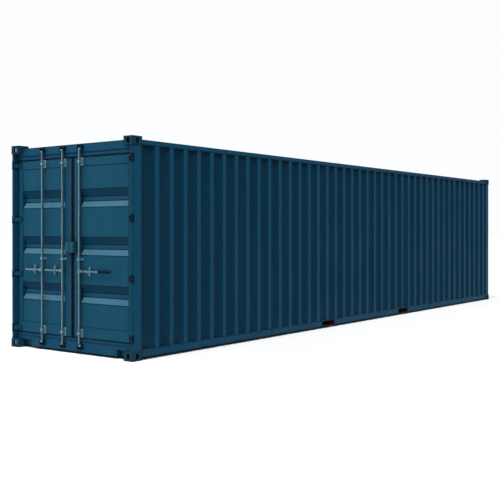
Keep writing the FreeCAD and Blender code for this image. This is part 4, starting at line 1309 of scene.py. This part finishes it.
@dataclass
class Padlock:
    """A plain padlock that hangs in the left lock box's eye plate."""

    width: float = 0.050
    height: float = 0.044
    thickness: float = 0.020
    rounding: float = 0.005
    rim: float = 0.004
    panel_depth: float = 0.0012
    plug_margin: float = 0.003
    plug_rise: float = 0.002
    leg_gap: float = 0.0135
    wire: float = 0.0025
    wire_sides: int = 12
    bend_steps: int = 14
    sunk_leg: float = 0.004
    sag: float = 0.011
    drop: float = 0.030
    eye_plate: float = 0.005
    eye_depth: float = 0.0255
    eye_rise: float = 0.023

    def build(self) -> None:
        """Builds the body and the shackle."""
        low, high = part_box("left_lock_box")
        eye = Vector((high.x - self.eye_depth, low.y + self.eye_plate / 2, low.z + self.eye_rise))
        self.shackle(eye)
        self.body(eye)

    def body(self, eye: Vector) -> None:
        """Builds the body: a rounded block with a raised rim and a key plug beneath.

        Args:
            eye: The middle of the eye.
        """
        top = eye.z - self.drop
        start = Vector((eye.x - self.thickness / 2, eye.y - self.width / 2, top - self.height))
        end = Vector((eye.x + self.thickness / 2, eye.y + self.width / 2, top))
        bench = Bench("padlock_body").block(start, end)
        bench.bevel(self.rounding, 3)
        for way in (-1.0, 1.0):
            bench.pick(lambda middle, normal: normal.x * way > 0.99)
            bench.inset(self.rim).extrude(Vector((-self.panel_depth * way, 0.0, 0.0)))
        bench.pick(lambda middle, normal: normal.z < -0.99 and abs(middle.z - start.z) < 0.001)
        bench.inset(self.plug_margin).extrude(UP * -self.plug_rise)
        bench.done(Finish.PADLOCK, Slot.ROD, "left_door")

    def shackle(self, eye: Vector) -> None:
        """Builds the shackle: a ring of edges spun through the eye, with a straight leg at each end.

        The bend rests on the foot of the eye, and one leg stands in the gap between the halves.

        Args:
            eye: The middle of the eye.
        """
        place = eye - Vector((0.0, self.leg_gap / 2, 0.0))
        foot = eye.z - self.drop - self.sunk_leg
        bend = eye.z - self.sag
        bpy.ops.mesh.primitive_circle_add(
            vertices=self.wire_sides, radius=self.wire, location=(place.x, place.y, foot)
        )
        bpy.context.object.name = "padlock_shackle"
        bench = Bench.holding(bpy.context.object).settle()
        bpy.ops.object.mode_set(mode="EDIT")
        bpy.ops.mesh.select_mode(type="EDGE")
        bpy.ops.mesh.select_all(action="SELECT")
        bench.extrude(UP * (bend - foot))
        bpy.ops.mesh.spin(
            steps=self.bend_steps, angle=math.pi, center=(eye.x, eye.y, bend), axis=(1.0, 0.0, 0.0)
        )
        bench.extrude(UP * (foot - bend))
        bpy.ops.mesh.select_all(action="SELECT")
        bpy.ops.mesh.remove_doubles(threshold=0.0002)
        bpy.ops.mesh.fill_holes(sides=self.wire_sides)
        bpy.ops.mesh.normals_make_consistent(inside=False)
        bench.done(Finish.BRIGHT, Slot.ROD, "left_door", 60.0)


@dataclass
class WeldBeads:
    """Weld beads where the corner posts stand on and under the corner castings."""

    radius: float = 0.0045
    step: float = 0.012
    roughness: float = 0.0009

    def build(self) -> None:
        """Builds the beads of all four posts as one piece."""
        runs = [run for post in CORNER_POSTS for run in self.runs_of(*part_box(post))]
        pieces = [self.bead(number, *run) for number, run in enumerate(runs)]
        beads = joined("casting_weld_beads", pieces)
        Bench.holding(beads).done(Finish.SHELL, Slot.SHELL, "container", 80.0)

    def runs_of(self, low: Vector, high: Vector) -> Iterable[tuple[Vector, Vector]]:
        """Gives the beads on one post, along its end face and its outer side.

        Args:
            low: The lowest corner of the post's box.
            high: The highest one.

        Returns:
            The start and end of each bead.
        """
        end, back = (low.x, high.x) if low.x < 0 else (high.x, low.x)
        outer, inner = (low.y, high.y) if low.y < 0 else (high.y, low.y)
        for height in (low.z, high.z):
            corner = Vector((end, outer, height))
            yield corner, Vector((end, inner, height))
            yield corner, Vector((back, outer, height))

    def bead(self, number: int, start: Vector, end: Vector) -> Piece:
        """Shapes one bead: a thin bar, cut across at even steps and roughened.

        Args:
            number: The bead's number, which its roughness follows.
            start: Where it starts.
            end: Where it ends.

        Returns:
            The bead.
        """
        bench = Bench(f"bead_{number}").bar(start, end, self.radius, 8)
        way = end - start
        for index in range(1, int(way.length / self.step)):
            bench.cut(start + way.normalized() * index * self.step, way.normalized())
        bench.pick(lambda middle, normal: True)
        bpy.ops.transform.vertex_random(offset=self.roughness, seed=number + 1)
        bench.clear_edit()
        return bench.piece


@dataclass
class FloorPlanks:
    """Plywood planks on the floor with open joints, and the screws that hold them."""

    rows: int = 8
    sheets: int = 5
    margin: float = 0.004
    joint: float = 0.004
    thickness: float = 0.003
    sink: float = 0.0005
    edge: float = 0.002
    crown: float = 0.0006
    screw_radius: float = 0.006
    screw_root: float = 0.001
    screw_rise: float = 0.0008
    screw_places: tuple[float, float] = (0.2, 0.8)

    def build(self) -> None:
        """Builds the planks and the screws."""
        low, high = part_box("floor_boards")
        inset = Vector((self.margin, self.margin, 0.0))
        low, high = low + inset, high - inset
        length = (high.x - low.x) / self.sheets
        width = (high.y - low.y) / self.rows
        bench = Bench("plank").block(
            Vector((self.joint / 2, self.joint / 2, -self.sink)),
            Vector((length - self.joint / 2, width - self.joint / 2, self.thickness)),
        )
        bench.dome(UP, [(self.edge, self.crown)])
        moves = [
            Vector((low.x + sheet * length, low.y + row * width, high.z))
            for sheet in range(self.sheets)
            for row in range(self.rows)
        ]
        planks = copies(bench.piece, "floor_planks", moves)
        Bench.holding(planks).done(Finish.PLYWOOD, Slot.FLOOR, "container")
        self.screws(low.y, high.z + self.thickness + self.crown, width)

    def screws(self, start: float, top: float, width: float) -> None:
        """Builds the screws: a pair on each plank over each cross member.

        Args:
            start: Where the first row of planks starts, across the floor.
            top: The height of the planks' top.
            width: The width of a row.
        """
        bench = Bench("screw").bar(UP * -self.screw_root, UP * self.screw_rise, self.screw_radius, 8)
        bench.dome(UP, [(self.screw_radius * 0.45, -self.crown)])
        members = sorted({round((low.x + high.x) / 2, 3) for low, high in solid_boxes("cross_members")})
        moves = [
            Vector((member, start + (row + share) * width, top))
            for member in members
            for row in range(self.rows)
            for share in self.screw_places
        ]
        screws = copies(bench.piece, "floor_screws", moves)
        Bench.holding(screws).done(Finish.BRIGHT, Slot.ROD, "container")


# ---------------------------------------------------------------- studio


@dataclass
class Studio:
    """Pale floor, soft lights and the camera."""

    camera_place: Colour = (-13.839, -8.874, 1.688)
    camera_way: Colour = (0.8011, 0.5985, 0.0)
    camera_lens: float = 60.93
    camera_shift: float = -0.0406
    camera_reach: float = 1000.0
    floor_side: float = 400.0
    floor_drop: float = 0.0005
    sun_strength: float = 3.4
    sun_way: Colour = (-0.324, -0.187, 0.927)
    sun_spread: float = 30.0
    fill_strength: float = 0.12
    fill_way: Colour = (-0.3, -0.9, 0.3)
    fill_spread: float = 60.0
    sun_distance: float = 20.0
    box_power: float = 420.0
    box_size: tuple[float, float] = (6.0, 4.0)
    box_place: Colour = (-10.6, 8.0, 7.4)
    box_target: Colour = (-6.0, 0.0, 1.4)
    sky_strength: float = 0.36

    def build(self) -> None:
        """Sets up the studio."""
        self.floor()
        self.sky()
        self.lights()
        self.camera()
        bpy.context.scene.view_settings.view_transform = "Standard"

    def floor(self) -> None:
        """Lays a large pale floor."""
        Bench.clear()
        bpy.ops.mesh.primitive_plane_add(size=self.floor_side, location=UP * -self.floor_drop)
        floor = bpy.context.object
        floor.name = "studio_floor"
        sheet = MaterialSheet("studio_floor_paint")
        tone = sheet.ramp(sheet.noise(sheet.place, 0.4, detail=3.0), 0.3, 0.7)
        colour = sheet.blend(tone, (0.79, 0.79, 0.79), (0.81, 0.81, 0.81))
        floor.data.materials.append(sheet.finish(colour, 0.9, 0.0, 0.05))

    def sky(self) -> None:
        """Makes an even sky: pale to look at, and soft as a light."""
        world = bpy.data.worlds.new("studio_sky")
        world.use_nodes = True
        bpy.context.scene.world = world
        sheet = NodeSheet(world.node_tree)
        path = sheet.add("ShaderNodeLightPath")
        strength = sheet.ramp(path.outputs["Is Camera Ray"], 0.0, 1.0, self.sky_strength, 1.0)
        back = sheet.add("ShaderNodeBackground")
        sheet.feed(back.inputs["Color"], (0.98, 0.985, 1.0))
        sheet.feed(back.inputs["Strength"], strength)
        out = sheet.add("ShaderNodeOutputWorld")
        sheet.feed(out.inputs["Surface"], back.outputs[0])

    def lights(self) -> None:
        """Hangs a high sun over the door end, a weak wide one over the right side and a soft box."""
        for name, strength, way, spread in (
            ("key_sun", self.sun_strength, self.sun_way, self.sun_spread),
            ("fill_sun", self.fill_strength, self.fill_way, self.fill_spread),
        ):
            sun = bpy.data.lights.new(name, "SUN")
            sun.energy = strength
            sun.angle = math.radians(spread)
            self.hang(sun, Vector(way) * self.sun_distance, Vector())
        box = bpy.data.lights.new("soft_box", "AREA")
        box.shape = "RECTANGLE"
        box.size, box.size_y = self.box_size
        box.energy = self.box_power
        self.hang(box, Vector(self.box_place), Vector(self.box_target))

    @staticmethod
    def hang(light: bpy.types.Light, place: Vector, target: Vector) -> None:
        """Hangs a light.

        Args:
            light: The light.
            place: Where it hangs.
            target: The point that it looks at.
        """
        lamp = bpy.data.objects.new(light.name, light)
        lamp.location = place
        lamp.rotation_euler = (target - place).to_track_quat("-Z", "Y").to_euler()
        bpy.context.scene.collection.objects.link(lamp)

    def camera(self) -> None:
        """Sets the camera: level, off the door end's right corner."""
        lens = bpy.data.cameras.new("camera")
        lens.lens = self.camera_lens
        lens.shift_y = self.camera_shift
        lens.clip_end = self.camera_reach
        holder = bpy.data.objects.new("camera", lens)
        holder.location = self.camera_place
        holder.rotation_euler = Vector(self.camera_way).to_track_quat("-Z", "Y").to_euler()
        bpy.context.scene.collection.objects.link(holder)
        bpy.context.scene.camera = holder


def main() -> None:
    """Builds the looks in order."""
    logging.basicConfig(level=logging.INFO, format="%(message)s")
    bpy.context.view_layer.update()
    Studio().build()
    dress_frame()
    for assembly in (
        SeamLips, HandleGrip, HandleCatches, Rivets, HingeCaps, Padlock, WeldBeads, FloorPlanks,
    ):
        assembly().build()
    Bench.clear()


if __name__ == "__main__":
    main()
